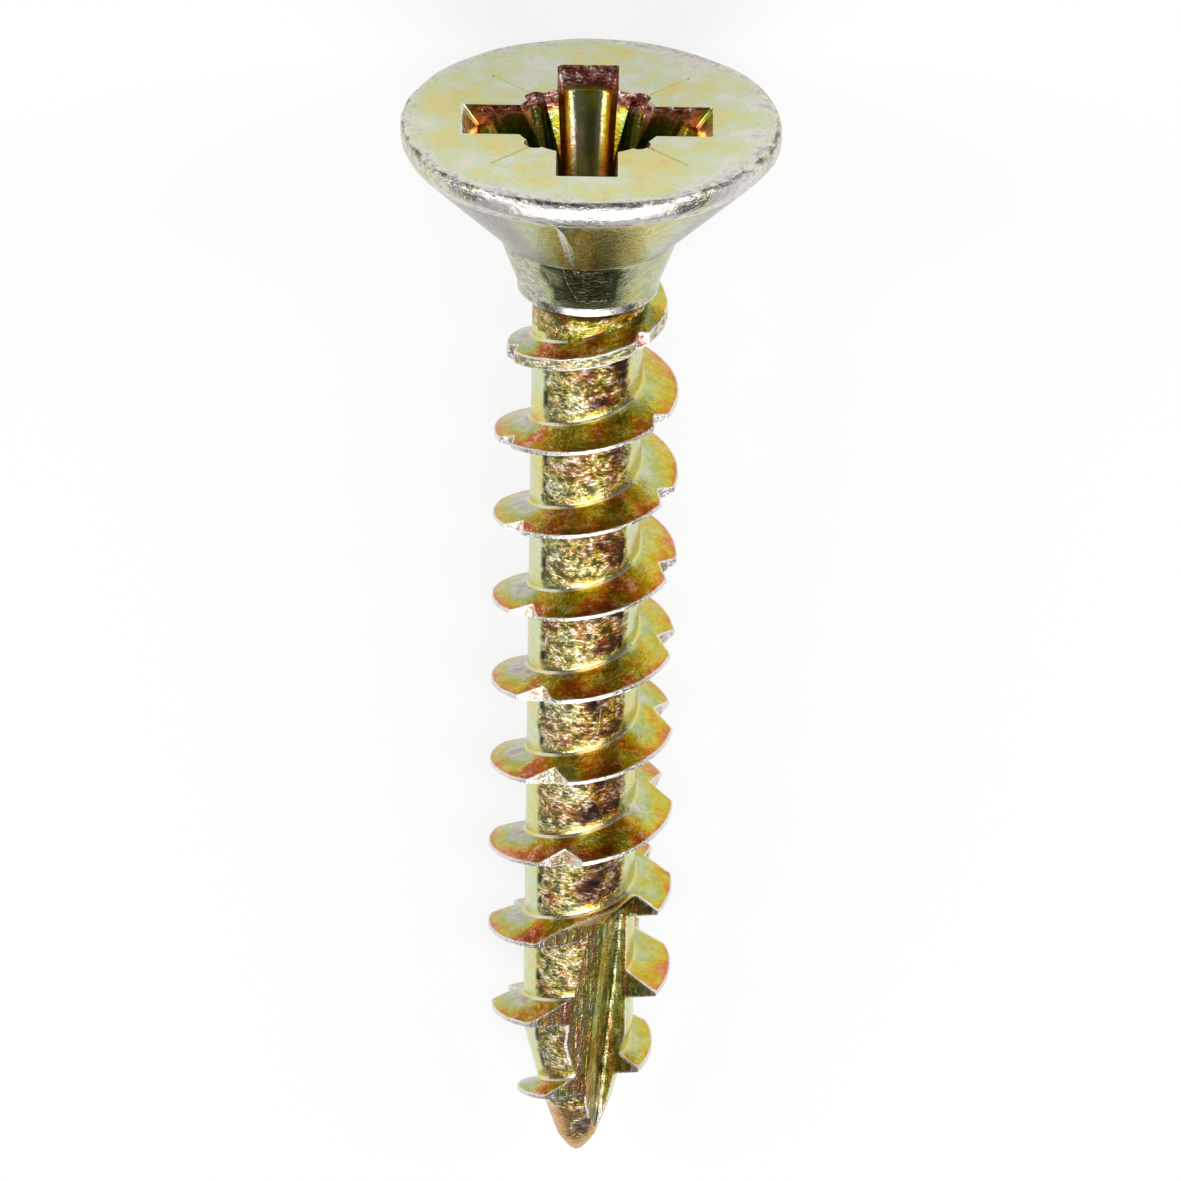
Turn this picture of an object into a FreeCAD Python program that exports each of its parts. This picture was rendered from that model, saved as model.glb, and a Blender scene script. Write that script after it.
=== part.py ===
import FreeCAD, Part
import Sketcher
from FreeCAD import Placement, Rotation, Vector
import math
import os
import re

doc = FreeCAD.newDocument("countersunk_wood_screw")
os.makedirs("parts", exist_ok=True)

# Driving sizes of the screw, in millimetres and degrees
SIZES = {
    "overall_length": 24.53,
    # head: flat top, short upright rim, countersink, then a steeper collar that stiffens the neck
    "head_diameter": 8.0,
    "head_edge_radius": 0.1,
    "rim_height": 0.43,
    "countersink_angle": 90.0,
    "collar_top_diameter": 3.8,
    "collar_bottom_diameter": 2.9,
    "collar_length": 1.28,
    "neck_length": 0.38,
    # shank under the thread and its point
    "core_diameter": 2.34,
    "point_length": 3.13,
    "point_middle_length": 1.43,
    "point_middle_radius": 0.75,
    "nose_radius": 0.26,
    # cross recess for a no. 2 driver
    "recess_span": 5.22,
    "recess_depth": 2.4,
    "wing_width": 1.4,
    "wing_floor_width": 1.06,
    "wing_end_slope": 26.5,
    "corner_slot_span": 3.66,
    "corner_slot_width": 0.5,
    "corner_slot_floor_width": 0.36,
    "corner_slot_depth": 1.9,
    "corner_slot_slope": 18.0,
    "recess_floor_radius": 1.15,
    "recess_floor_depth": 0.35,
    # scored marks that tell this recess from a plain cross
    "score_inner_radius": 1.8,
    "score_outer_radius": 2.95,
    "score_width": 0.1,
    "score_depth": 0.07,
    # cutting nibs on the countersink
    "nib_outer_radius": 3.88,
    "nib_inner_radius": 1.98,
    "nib_outer_width": 0.44,
    "nib_inner_width": 0.2,
    "nib_outer_height": 0.1,
    "nib_inner_height": 0.13,
    "nib_sink": 0.1,
    "nib_turn": 8.0,
    # rolled thread: right hand, one start
    "thread_diameter": 3.9,
    "thread_pitch": 1.96,
    "thread_angle": 41.0,
    "crest_width": 0.07,
    "front_crest_depth": 6.79,
    "root_sink": 0.12,
    # run-in at the neck: depths below the top, heights as shares of the full thread height
    "run_in_depth": 3.75,
    "run_in_share": 0.17,
    "first_crest_depth": 4.25,
    "first_crest_share": 0.65,
    "second_crest_depth": 5.45,
    "second_crest_share": 0.7,
    "full_crest_depth": 6.35,
    # run-out on the point: distances up from the tip, heights over the point as shares
    "last_full_crest_length": 4.33,
    "lead_crest_length": 2.68,
    "lead_crest_share": 0.73,
    "tip_crest_length": 1.66,
    "tip_crest_share": 0.68,
    "run_out_length": 0.93,
    "run_out_share": -0.07,
    # serrated crest: notch depths as shares of the full thread height
    "notch_spacing": 116.7,
    "notch_phase": 62.0,
    "first_notch_share": 0.18,
    "full_notch_share": 0.55,
    "full_notch_depth": 14.5,
    "notch_angle": 106.0,
    # scraper slot along the last turns
    "slot_length": 6.08,
    "slot_corner_radius": 1.01,
    "slot_corner_turn": 60.0,
    "slot_face_turn": 33.8,
    "slot_fall_angle": 5.4,
    "slot_run_out_angle": 37.0,
    "slot_root_radius": 0.1,
    "slot_relief_width": 0.62,
    "slot_relief_angle": 26.0,
}

sheet = doc.addObject("Spreadsheet::Sheet", "Sizes")
for row, (name, value) in enumerate(SIZES.items(), start=1):
    sheet.set(f"A{row}", name)
    sheet.set(f"B{row}", str(value))
    sheet.setAlias(f"B{row}", name)
doc.recompute()


def size(name):
    """Value of one named size from the sheet."""
    return float(sheet.get(name))


def bind(feature, prop, formula):
    """Ties a property to the sheet; a word in the formula that names a size is read from there."""
    feature.setExpression(prop, re.sub(r"[a-z_]+", sheet_word, formula))


def sheet_word(match):
    """A size's name as an expression spells it; any other word is kept."""
    word = match.group(0)
    return f"Sizes.{word}" if word in SIZES else word


def origin_part(body, role):
    """A plane or an axis of the body's own origin."""
    for feature in body.Origin.OriginFeatures:
        if feature.Role == role:
            return feature


def outline(body, name, role, corners, place=Placement()):
    """A closed sketch of straight sides on one of the body's planes, or on a place relative to it.

    A corner is a pair of formulas. "0" lies on an axis, and a leading minus is the axis's other side.
    """
    sketch = body.newObject("Sketcher::SketchObject", name)
    sketch.AttachmentSupport = (origin_part(body, role), [""])
    sketch.MapMode = "FlatFace"
    sketch.AttachmentOffset = place
    doc.recompute()
    count = len(corners)
    start = []
    for i, signs in enumerate(corners):
        turn = 2 * math.pi * i / count
        start.append(Vector(2 + math.cos(turn), 2 + math.sin(turn), 0))
    for i in range(count):
        sketch.addGeometry(Part.LineSegment(start[i], start[(i + 1) % count]), False)
    for i in range(count):
        sketch.addConstraint(Sketcher.Constraint("Coincident", i, 2, (i + 1) % count, 1))
    for i, corner in enumerate(corners):
        for kind, axis, formula in zip(("DistanceX", "DistanceY"), (-2, -1), corner):
            if formula == "0":
                sketch.addConstraint(Sketcher.Constraint("PointOnObject", i, 1, axis))
                continue
            ends = (i, 1, -1, 1) if formula.startswith("-") else (-1, 1, i, 1)
            number = sketch.addConstraint(Sketcher.Constraint(kind, *ends, 1.0))
            bind(sketch, f"Constraints[{number}]", formula.lstrip("-"))
    doc.recompute()
    return sketch


# The blank: one turned outline from the flat top to the rounded nose
body = doc.addObject("PartDesign::Body", "blank")
half_countersink = "tan(countersink_angle / 2)"
collar_top = f"(rim_height + (head_diameter - collar_top_diameter) / 2 / {half_countersink})"
profile = outline(body, "turned_outline", "XZ_Plane", [
    ("0", "0"),
    ("head_diameter / 2", "0"),
    ("head_diameter / 2", "rim_height"),
    ("collar_top_diameter / 2", collar_top),
    ("collar_bottom_diameter / 2", f"{collar_top} + collar_length"),
    ("core_diameter / 2", f"{collar_top} + collar_length + neck_length"),
    ("core_diameter / 2", "overall_length - point_length"),
    ("point_middle_radius", "overall_length - point_middle_length"),
    ("nose_radius", "overall_length"),
    ("0", "overall_length"),
])
turned = body.newObject("PartDesign::Revolution", "turned_blank")
turned.Profile = profile
turned.ReferenceAxis = (profile, ["V_Axis"])
turned.Angle = 360
doc.recompute()


def ring_edges(shape, radius, depth):
    """Names of the round edges that lie at one radius and one depth."""
    found = []
    for count, edge in enumerate(shape.Edges, start=1):
        middle = edge.valueAt((edge.FirstParameter + edge.LastParameter) / 2)
        if abs(math.hypot(middle.x, middle.y) - radius) < 0.01 and abs(middle.z - depth) < 0.01:
            found.append(f"Edge{count}")
    return found


edge_break = body.newObject("PartDesign::Fillet", "head_edge_break")
edge_break.Base = (turned, ring_edges(turned.Shape, size("head_diameter") / 2, 0))
bind(edge_break, "Radius", "head_edge_radius")
doc.recompute()
nose = body.newObject("PartDesign::Fillet", "rounded_nose")
nose.Base = (edge_break, ring_edges(edge_break.Shape, size("nose_radius"), size("overall_length")))
bind(nose, "Radius", "nose_radius * 0.85")
doc.recompute()


def around_axis(feature, name):
    """Repeats a feature four times round the screw's axis."""
    pattern = body.newObject("PartDesign::PolarPattern", name)
    pattern.Originals = [feature]
    pattern.Axis = (origin_part(body, "Z_Axis"), [""])
    pattern.Angle = 360
    pattern.Occurrences = 4
    body.Tip = pattern
    doc.recompute()
    return pattern


def spun(turn, shift=0.0):
    """A place turned round the screw's axis and shifted along it."""
    return Placement(Vector(0, 0, shift), Rotation(Vector(0, 0, 1), turn))


def loft_between(kind, name, first, second):
    """A straight-sided loft from one sketch to another."""
    loft = body.newObject(kind, name)
    loft.Profile = first
    loft.Sections = [second]
    loft.Ruled = True
    doc.recompute()
    return loft


# Cutting nibs: low roof-shaped ribs down the countersink, wider at the rim than at the collar
slant = math.radians(size("countersink_angle") / 2)
downhill = Vector(-math.sin(slant), 0, math.cos(slant))
outward = Vector(math.cos(slant), 0, math.sin(slant))


def nib_section(name, radius, width, height):
    """One triangular section across a nib, square to the countersink's slope."""
    depth = size("rim_height") + (size("head_diameter") / 2 - size(radius)) / math.tan(slant)
    facing = Rotation(outward.cross(downhill), outward, downhill, "ZXY")
    front = Rotation(Vector(0, 0, 1), 90 + size("nib_turn"))
    place = Placement(Vector(0, 0, 0), front) * Placement(Vector(size(radius), 0, depth), facing)
    corners = [(f"-{width} / 2", "-nib_sink"), (f"{width} / 2", "-nib_sink"), ("0", height)]
    return outline(body, name, "XY_Plane", corners, place)


nib = loft_between("PartDesign::AdditiveLoft", "countersink_nib",
                   nib_section("nib_at_rim", "nib_outer_radius", "nib_outer_width", "nib_outer_height"),
                   nib_section("nib_at_collar", "nib_inner_radius", "nib_inner_width", "nib_inner_height"))
around_axis(nib, "countersink_nibs")


# Cross recess: four wings with sloping ends, four narrower corner slots between them, a cone below
def tapered_wing(name, span, width, floor_width, depth, slope, turn):
    """A wing from the axis outward: a rectangle at the top, a smaller one at its floor."""
    mouth = outline(body, f"{name}_mouth", "XY_Plane", [
        ("0", f"-{width} / 2"), (f"{span} / 2", f"-{width} / 2"),
        (f"{span} / 2", f"{width} / 2"), ("0", f"{width} / 2"),
    ], spun(turn))
    foot = f"{span} / 2 - {depth} * tan({slope})"
    floor = outline(body, f"{name}_floor", "XY_Plane", [
        ("0", f"-{floor_width} / 2"), (foot, f"-{floor_width} / 2"),
        (foot, f"{floor_width} / 2"), ("0", f"{floor_width} / 2"),
    ], spun(turn, size(depth)))
    return loft_between("PartDesign::SubtractiveLoft", name, mouth, floor)


wing = tapered_wing("recess_wing", "recess_span", "wing_width", "wing_floor_width",
                    "recess_depth", "wing_end_slope", 0)
around_axis(wing, "recess_wings")
corner_slot = tapered_wing("recess_corner", "corner_slot_span", "corner_slot_width",
                           "corner_slot_floor_width", "corner_slot_depth", "corner_slot_slope", 45)
around_axis(corner_slot, "recess_corners")
floor_profile = outline(body, "floor_outline", "XZ_Plane", [
    ("0", "recess_depth - recess_floor_depth"),
    ("recess_floor_radius", "recess_depth - recess_floor_depth"),
    ("recess_floor_radius", "recess_depth"),
    ("0", "recess_depth + recess_floor_depth"),
])
recess_floor = body.newObject("PartDesign::Groove", "recess_floor")
recess_floor.Profile = floor_profile
recess_floor.ReferenceAxis = (floor_profile, ["V_Axis"])
recess_floor.Angle = 360
doc.recompute()
score_profile = outline(body, "score_outline", "XZ_Plane", [
    ("score_inner_radius", "0"),
    ("score_outer_radius", "0"),
    ("score_outer_radius - score_depth", "score_depth"),
    ("score_inner_radius", "score_depth"),
], Placement(Vector(0, 0, 0), Rotation(Vector(0, 1, 0), 45)))
score = body.newObject("PartDesign::Pocket", "score_mark")
score.Profile = score_profile
score.SideType = "Symmetric"
bind(score, "Length", "score_width")
doc.recompute()
around_axis(score, "score_marks")


def between(stations, depth):
    """Value at one depth, on straight runs between stations of depth and value."""
    for (low, start), (high, end) in zip(stations, stations[1:]):
        if depth <= high:
            return start + (end - start) * max(depth - low, 0) / (high - low)
    return stations[-1][1]


def above_tip(name):
    """Depth of a place that is named by its distance up from the tip."""
    return size("overall_length") - size(name)


# The core under the thread, and the thread's height over it, both along the screw
full_radius = size("thread_diameter") / 2
core_radius = size("core_diameter") / 2
core_stations = [
    (size("run_in_depth"), core_radius),
    (above_tip("point_length"), core_radius),
    (above_tip("point_middle_length"), size("point_middle_radius")),
    (size("overall_length"), size("nose_radius")),
]
height_stations = [
    (size("run_in_depth"), size("run_in_share")),
    (size("first_crest_depth"), size("first_crest_share")),
    (size("second_crest_depth"), size("second_crest_share")),
    (size("full_crest_depth"), 1.0),
    (above_tip("last_full_crest_length"), 1.0),
    (above_tip("lead_crest_length"), size("lead_crest_share")),
    (above_tip("tip_crest_length"), size("tip_crest_share")),
    (above_tip("run_out_length"), size("run_out_share")),
]
full_height = full_radius - core_radius
flank_slope = math.tan(math.radians(size("thread_angle") / 2))


def crest_radius(depth):
    """Radius of the thread's crest at one depth."""
    return between(core_stations, depth) + between(height_stations, depth) * full_height


def root_radius(depth):
    """Radius just under the core's surface, where the ridge takes hold."""
    return between(core_stations, depth) - size("root_sink")


def turn_at(depth):
    """Angle in degrees along the thread, 0 at the front crest that names its place."""
    return (depth - size("front_crest_depth")) / size("thread_pitch") * 360


def depth_at(turn):
    """Depth of the crest's middle at one angle along the thread."""
    return size("front_crest_depth") + size("thread_pitch") * turn / 360


def on_thread(turn, radius, shift=0.0):
    """A point on the helix at one angle and radius, shifted along the axis."""
    angle = math.radians(turn)
    return Vector(-radius * math.sin(angle), radius * math.cos(angle), depth_at(turn) + shift)


def ridge_curves(turns):
    """The four long edges of the ridge: root and crest, on its head side and its point side."""
    rows = [[], [], [], []]
    for turn in turns:
        depth = depth_at(turn)
        crest = crest_radius(depth)
        apex = full_radius if depth < size("full_crest_depth") else crest
        crest_half = size("crest_width") / 2 + (apex - crest) * flank_slope
        root = root_radius(depth)
        root_half = size("crest_width") / 2 + (apex - root) * flank_slope
        section = [(root, -root_half), (crest, -crest_half), (crest, crest_half), (root, root_half)]
        for row, (radius, shift) in zip(rows, section):
            row.append(on_thread(turn, radius, shift))
    curves = []
    for points in rows:
        curve = Part.BSplineCurve()
        curve.interpolate(Points=points, Parameters=turns)
        curves.append(curve)
    return curves


def ridge_solid():
    """The rolled ridge: ruled faces between its long edges, one turn at a time, and two ends."""
    first = turn_at(size("run_in_depth"))
    last = turn_at(above_tip("run_out_length"))
    steps = int((last - first) / 45)
    curves = ridge_curves([first + (last - first) * i / steps for i in range(steps + 1)])
    cuts = math.ceil((last - first) / 180)
    faces = []
    for i in range(cuts):
        low = first + (last - first) * i / cuts
        high = first + (last - first) * (i + 1) / cuts
        edges = [curve.toShape(low, high) for curve in curves]
        faces += [Part.makeRuledSurface(edges[k], edges[(k + 1) % 4]) for k in range(4)]
    for turn in (first, last):
        corners = [curve.value(turn) for curve in curves]
        faces.append(Part.Face(Part.makePolygon(corners + corners[:1])))
    shell = Part.Shell(faces)
    shell.sewShape()
    solid = Part.Solid(shell)
    if solid.Volume < 0:
        solid.reverse()
    return solid


ridge = doc.addObject("Part::Feature", "thread_ridge")
ridge.Shape = ridge_solid()
doc.recompute()

# Scraper slot: a square corner along the last turns, sinking toward the point, with a ramp out at its top
slot = doc.addObject("Part::Feature", "scraper_slot")


def slot_cutter():
    """One section carried two ways: down and slightly inward to the point, up and outward to its end."""
    reach = full_radius * 1.6
    turn = math.radians(size("slot_corner_turn"))
    outward = Vector(math.sin(turn), math.cos(turn), 0)
    place = Placement(outward * size("slot_corner_radius") + Vector(0, 0, above_tip("slot_length")),
                      Rotation(Vector(0, 0, 1), size("slot_face_turn")))
    bend = math.radians(size("slot_relief_angle"))
    relief = size("slot_relief_width")
    side = Vector(-math.sin(bend), math.cos(bend), 0) * reach
    corners = [Vector(0, 0, 0), Vector(reach, 0, 0), Vector(reach, reach, 0),
               Vector(0, relief, 0) + side, Vector(0, relief, 0)]
    face = Part.Face(Part.makePolygon(corners + corners[:1]))
    face.Placement = place
    down = size("slot_length") + 1
    fall = math.tan(math.radians(size("slot_fall_angle")))
    straight = face.extrude(Vector(0, 0, down) - outward * down * fall)
    climb = full_radius * 1.2
    rise = math.tan(math.radians(size("slot_run_out_angle")))
    ramp = face.extrude(outward * climb - Vector(0, 0, climb / rise))
    cutter = straight.fuse(ramp).removeSplitter()
    corner = place.multVec(Vector(0, 0, 0))
    valleys = [edge for edge in cutter.Edges
               if any((vertex.Point - corner).Length < 1e-4 for vertex in edge.Vertexes)
               and abs(edge.tangentAt(edge.FirstParameter).z) > 0.1]
    return cutter.makeFillet(size("slot_root_radius"), valleys)


slot.Shape = slot_cutter()


def cut_from(base, tool, name):
    """One boolean cut as a feature of its own."""
    cut = doc.addObject("Part::Cut", name)
    cut.Base = base
    cut.Tool = tool
    doc.recompute()
    return cut


slotted_blank = cut_from(body, slot, "slotted_blank")
slotted_ridge = cut_from(ridge, slot, "slotted_ridge")

# Serrations: vee notches across the crest, stepped a little more than a third of a turn
notches = doc.addObject("Part::Feature", "crest_notches")


def notch_cutters():
    """One vee prism for each notch, deeper toward the point."""
    low = turn_at(size("first_crest_depth"))
    high = turn_at(above_tip("lead_crest_length"))
    full = turn_at(size("full_notch_depth"))
    spacing = size("notch_spacing")
    tools = []
    count = math.ceil((low - size("notch_phase")) / spacing)
    while size("notch_phase") + count * spacing < high:
        turn = size("notch_phase") + count * spacing
        share = between([(low, size("first_notch_share")), (full, size("full_notch_share"))], turn)
        deep = share * full_height
        bottom = crest_radius(depth_at(turn)) - deep
        height = deep + 0.3
        half = height * math.tan(math.radians(size("notch_angle") / 2))
        reach = size("thread_pitch") * 0.3
        corners = [Vector(0, bottom, -reach), Vector(half, bottom + height, -reach),
                   Vector(-half, bottom + height, -reach)]
        prism = Part.Face(Part.makePolygon(corners + corners[:1])).extrude(Vector(0, 0, 2 * reach))
        prism.Placement = Placement(Vector(0, 0, depth_at(turn)), Rotation(Vector(0, 0, 1), turn))
        tools.append(prism)
        count += 1
    return Part.makeCompound(tools)


notches.Shape = notch_cutters()
serrated_ridge = cut_from(slotted_ridge, notches, "serrated_ridge")
screw = doc.addObject("Part::Fuse", "wood_screw")
screw.Base = slotted_blank
screw.Tool = serrated_ridge
screw.Label = "wood_screw"
doc.recompute()

# At rest: the rim's lower edge and the crest that touches first carry it, photo's front side up
bottom_turns = range(180, int(turn_at(above_tip("run_out_length"))), 360)
leans = []
for turn in bottom_turns:
    drop = size("head_diameter") / 2 - crest_radius(depth_at(turn))
    leans.append(math.atan2(drop, depth_at(turn) - size("rim_height")))
lean = min(leans)
screw.Placement = Placement(Vector(0, 0, 0), Rotation(Vector(1, 0, 0), 90 + math.degrees(lean)))
doc.recompute()
box = screw.Shape.optimalBoundingBox()
centre = Vector((box.XMin + box.XMax) / 2, (box.YMin + box.YMax) / 2, box.ZMin)
screw.Placement = Placement(-centre, screw.Placement.Rotation)
doc.recompute()

for feature in doc.Objects:
    if "Invalid" in feature.State or "Error" in feature.State:
        raise RuntimeError(f"{feature.Name} did not rebuild: {feature.State}")
if screw.Shape.isNull() or not screw.Shape.isValid() or len(screw.Shape.Solids) != 1:
    raise RuntimeError("the screw is not one sound solid")
screw.Shape.exportStep("parts/wood_screw.step")
print(f"wood_screw: {len(screw.Shape.Faces)} faces, leaning {math.degrees(lean):.2f} degrees")
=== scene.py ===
# %% [markdown]
# # Countersunk wood screw
# A 4 mm wood screw with a cross recess, a stiffened neck, a coarse serrated thread and a slotted
# cutting point. It is one piece of cold-forged and thread-rolled steel wire, plated with zinc and
# passivated yellow. The forging gives the flat head, the rolling gives the thread, and the thin
# passivation gives the shifting yellow, green and pink.
#
# It could be made as a turned body with a swept thread pushed into it. Here the whole screw is one
# mesh, because the real one is one piece, and a seam along the thread's root would show in the
# shine. Its own axis runs along Z from the top of the head to the tip, in millimetres, and it is
# laid down in metres at the end.

# %% Load the frame
import math

import bmesh
import bpy
from mathutils import Matrix, Vector, kdtree, noise


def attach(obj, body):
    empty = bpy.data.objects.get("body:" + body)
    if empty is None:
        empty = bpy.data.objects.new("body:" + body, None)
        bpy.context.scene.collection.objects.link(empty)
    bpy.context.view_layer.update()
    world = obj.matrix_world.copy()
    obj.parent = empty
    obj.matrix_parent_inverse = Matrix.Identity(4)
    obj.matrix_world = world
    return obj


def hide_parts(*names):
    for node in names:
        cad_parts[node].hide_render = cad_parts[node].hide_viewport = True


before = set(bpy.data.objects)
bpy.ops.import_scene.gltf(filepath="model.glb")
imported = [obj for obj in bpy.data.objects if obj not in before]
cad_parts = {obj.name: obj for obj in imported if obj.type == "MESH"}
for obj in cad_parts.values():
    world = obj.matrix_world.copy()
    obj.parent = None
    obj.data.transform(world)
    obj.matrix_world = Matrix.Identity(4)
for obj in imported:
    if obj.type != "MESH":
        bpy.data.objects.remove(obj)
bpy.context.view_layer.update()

# %% [markdown]
# ## The blank
# The blank is the forged wire before its thread is rolled: a flat head over a 90 degree
# countersink, a collar that stiffens the neck and ends in a small bead, a plain core, and a point
# with two slopes. A round body can be drawn as a curve and turned about its axis. Here only its
# radius at a few depths is written down, with straight runs between them, because the thread, the
# cuts and the paint all have to ask how wide the blank is at some depth. Lengths are in
# millimetres, and a depth is a distance below the head's flat top.

# %% Sizes of the blank
LENGTH = 24.53
HEAD_RADIUS = 4.0
RIM_HEIGHT = 0.43
COLLAR_TOP = (2.53, 1.9)
COLLAR_FOOT = 3.81
BEAD_TOP = 3.67
BEAD_FOOT = 3.83
BEAD_RADIUS = 1.485
CORE_RADIUS = 1.17
POINT_START = LENGTH - 3.13
POINT_MIDDLE = (LENGTH - 1.43, 0.75)
NOSE_RADIUS = 0.26
BLANK = [
    (0.0, HEAD_RADIUS), (RIM_HEIGHT, HEAD_RADIUS), COLLAR_TOP, (BEAD_TOP, BEAD_RADIUS),
    (BEAD_FOOT, BEAD_RADIUS), (3.93, 1.33), (4.1, 1.19), (4.2, CORE_RADIUS),
    (POINT_START, CORE_RADIUS), POINT_MIDDLE, (LENGTH, NOSE_RADIUS),
]
print("blank:", LENGTH, "long,", 2 * HEAD_RADIUS, "over the head,", 2 * CORE_RADIUS, "core")


# %% Read a profile
def between(stations, depth):
    """Value at one depth, on straight runs between stations."""
    if depth <= stations[0][0]:
        return stations[0][1]
    for (low, start), (high, end) in zip(stations, stations[1:]):
        if depth <= high:
            return start + (end - start) * (depth - low) / (high - low)
    return stations[-1][1]


print("radius in the middle of the collar:", round(between(BLANK, 3.1), 3))

# %% [markdown]
# ## The thread's measures
# The thread is a right-hand ridge that winds down the core. It starts low and blunt on the neck,
# is sharp and full on the shank, and sinks into the point. A ridge like this could be swept along
# a helix curve, but a sweep keeps one section. So its height is a list of shares of the full
# height, one for each depth, and an angle along the thread stands for the place on it: 360 degrees
# are one pitch, and 0 is the crest in the middle of the front.

# %% Sizes of the thread
THREAD_RADIUS = 1.95
PITCH = 1.96
FRONT_CREST = 6.79
FLANK = math.tan(math.radians(41 / 2))
CREST_HALF = 0.035
FULL_HEIGHT = THREAD_RADIUS - CORE_RADIUS
FULL_CREST_DEPTH = 6.35
NECK_CREST = 4.25
POINT_CREST = LENGTH - 2.68
HEIGHTS = [
    (3.75, 0.17), (NECK_CREST, 0.65), (5.45, 0.7), (FULL_CREST_DEPTH, 1.0),
    (LENGTH - 4.33, 1.0), (POINT_CREST, 0.73), (LENGTH - 1.66, 0.68), (LENGTH - 0.93, -0.07),
]
print("thread:", 2 * THREAD_RADIUS, "over the crests,", round(FULL_HEIGHT, 2), "high")


# %% Angle along the thread and depth
def depth_at(turn):
    """Depth of the crest's middle at one angle in degrees along the thread."""
    return FRONT_CREST + PITCH * turn / 360


def turn_at(depth):
    """Angle along the thread at which the crest's middle has one depth."""
    return (depth - FRONT_CREST) / PITCH * 360


print("turns of thread:", round((turn_at(HEIGHTS[-1][0]) - turn_at(HEIGHTS[0][0])) / 360, 1))

# %% [markdown]
# ## The thread's section
# Rolling squeezes metal up between two dies, so a real crest is slightly ragged, most of all on
# the first turns, where the metal doesn't fill the die. A displaced surface could give that, but
# it would soften the sharp crest too. Here smooth noise lowers the crest's radius along the
# thread. Where the crest is low it is also wider, as the flanks keep their slope.

# %% Radius of the crest
RAGGED = 0.022
RAGGED_START = 2.6
RAGGED_START_END = 5.6
UNEVEN_WIDTH = 0.012
LEAST_HALF = 0.012


def crest_of(turn):
    """Radius of the crest, half its width and the core under it, at one angle of the thread."""
    depth = depth_at(turn)
    core = between(BLANK, depth)
    radius = core + between(HEIGHTS, depth) * FULL_HEIGHT
    apex = THREAD_RADIUS if depth < FULL_CREST_DEPTH else radius
    wobble = (noise.noise(Vector((turn * 0.021, 3.1, 0.5)))
              + 0.6 * noise.noise(Vector((turn * 0.083, 7.7, 2.2))))
    radius -= RAGGED * abs(wobble) * (RAGGED_START if depth < RAGGED_START_END else 1.0)
    half = CREST_HALF + (apex - radius) * FLANK
    return radius, max(half + UNEVEN_WIDTH * wobble, LEAST_HALF), core


print("crest in front: radius", round(crest_of(0)[0], 3), "half width", round(crest_of(0)[1], 3))

# %% [markdown]
# The section is a column of points one pitch long. Three of them lie on the crest, the next ones
# go down each flank and round the root, and six cover each half of the land. Points that follow
# the thread keep its crest sharp, where a plain grid would cut it into steps.

# %% Columns of the section
LAND_COLUMNS = 6
LEAST_GAP = 0.012
FLANK_SHARES = (0.3, 0.6, 0.82)
ROOT_SHIFTS = (0.04, 0.1)


def column_shifts(turn):
    """Shifts along the axis of all columns of the section, from the crest's middle."""
    radius, half, core = crest_of(turn)
    foot = half + max(radius - core, 0.0) * FLANK
    side = [half] + [half + (foot - half) * share for share in FLANK_SHARES]
    side += [foot - LEAST_GAP] + [foot + shift for shift in ROOT_SHIFTS]
    for index in range(1, len(side)):
        side[index] = max(side[index], side[index - 1] + LEAST_GAP)
    start = side[-1]
    for step in range(1, LAND_COLUMNS + 1):
        side.append(start + (PITCH / 2 - start) * step / LAND_COLUMNS)
    return [-shift for shift in reversed(side)] + [0.0] + side


print("columns in the section:", len(column_shifts(0)))

# %% [markdown]
# ## The surface before any cut
# In any direction and at any depth the skin is either the blank or the thread, whichever stands
# out further. Two solids could be joined for that, with a sharp line between them. A maximum with
# a small fillet gives the rounded root that the dies leave.

# %% Radius of the skin
ROOT_FILLET = 0.14
THREAD_START = HEIGHTS[0][0] - 0.02
THREAD_END = HEIGHTS[-1][0] + 0.3
NO_RIDGE = -1.0


def smooth_max(first, second, reach):
    """The larger of two radii, with a small fillet where they meet."""
    gap = max(reach - abs(first - second), 0.0) / reach
    return max(first, second) + gap * gap * reach / 4


def surface_radius(angle, depth):
    """Radius of the blank and its thread in one direction at one depth, before any cut."""
    ridge = NO_RIDGE
    base = math.floor((turn_at(depth) - angle) / 360)
    for lap in (base, base + 1):
        turn = angle + 360 * lap
        radius, half, core = crest_of(turn)
        if THREAD_START <= depth_at(turn) <= THREAD_END:
            shift = abs(depth - depth_at(turn))
            ridge = max(ridge, radius - max(shift - half, 0.0) / FLANK)
    return smooth_max(between(BLANK, depth), ridge, ROOT_FILLET)


print("skin between two crests:", round(surface_radius(0, FRONT_CREST + PITCH / 2), 3))

# %% [markdown]
# ## The rolled thread
# The thread comes from one column of points, which is spun once round the axis and moved down one
# pitch on the way. That turn is repeated down the screw, and its doubles are merged, so all turns
# are one strip. One long spin would do too, but a spin keeps its first section, and the repeats
# let each point be moved to its own place on the thread afterwards.

# %% Draw the section as a line of points
TOP_CUT = 3.3
LOW_CUT = 24.05
SPARE = 1.1
first_turn = 360 * math.floor(turn_at(TOP_CUT - SPARE) / 360)
turn_count = math.ceil((turn_at(LOW_CUT + SPARE) - first_turn) / 360)
start_shifts = column_shifts(first_turn)
mesh = bpy.data.meshes.new("wood_screw")
bm = bmesh.new()
column = bm.verts.layers.int.new("column")
line = []
for index, shift in enumerate(start_shifts):
    vert = bm.verts.new((0, 1, depth_at(first_turn) + shift))
    vert[column] = index
    line.append(vert)
for above, below in zip(line, line[1:]):
    bm.edges.new((above, below))
print("line of", len(line), "points for", turn_count, "turns")

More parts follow.
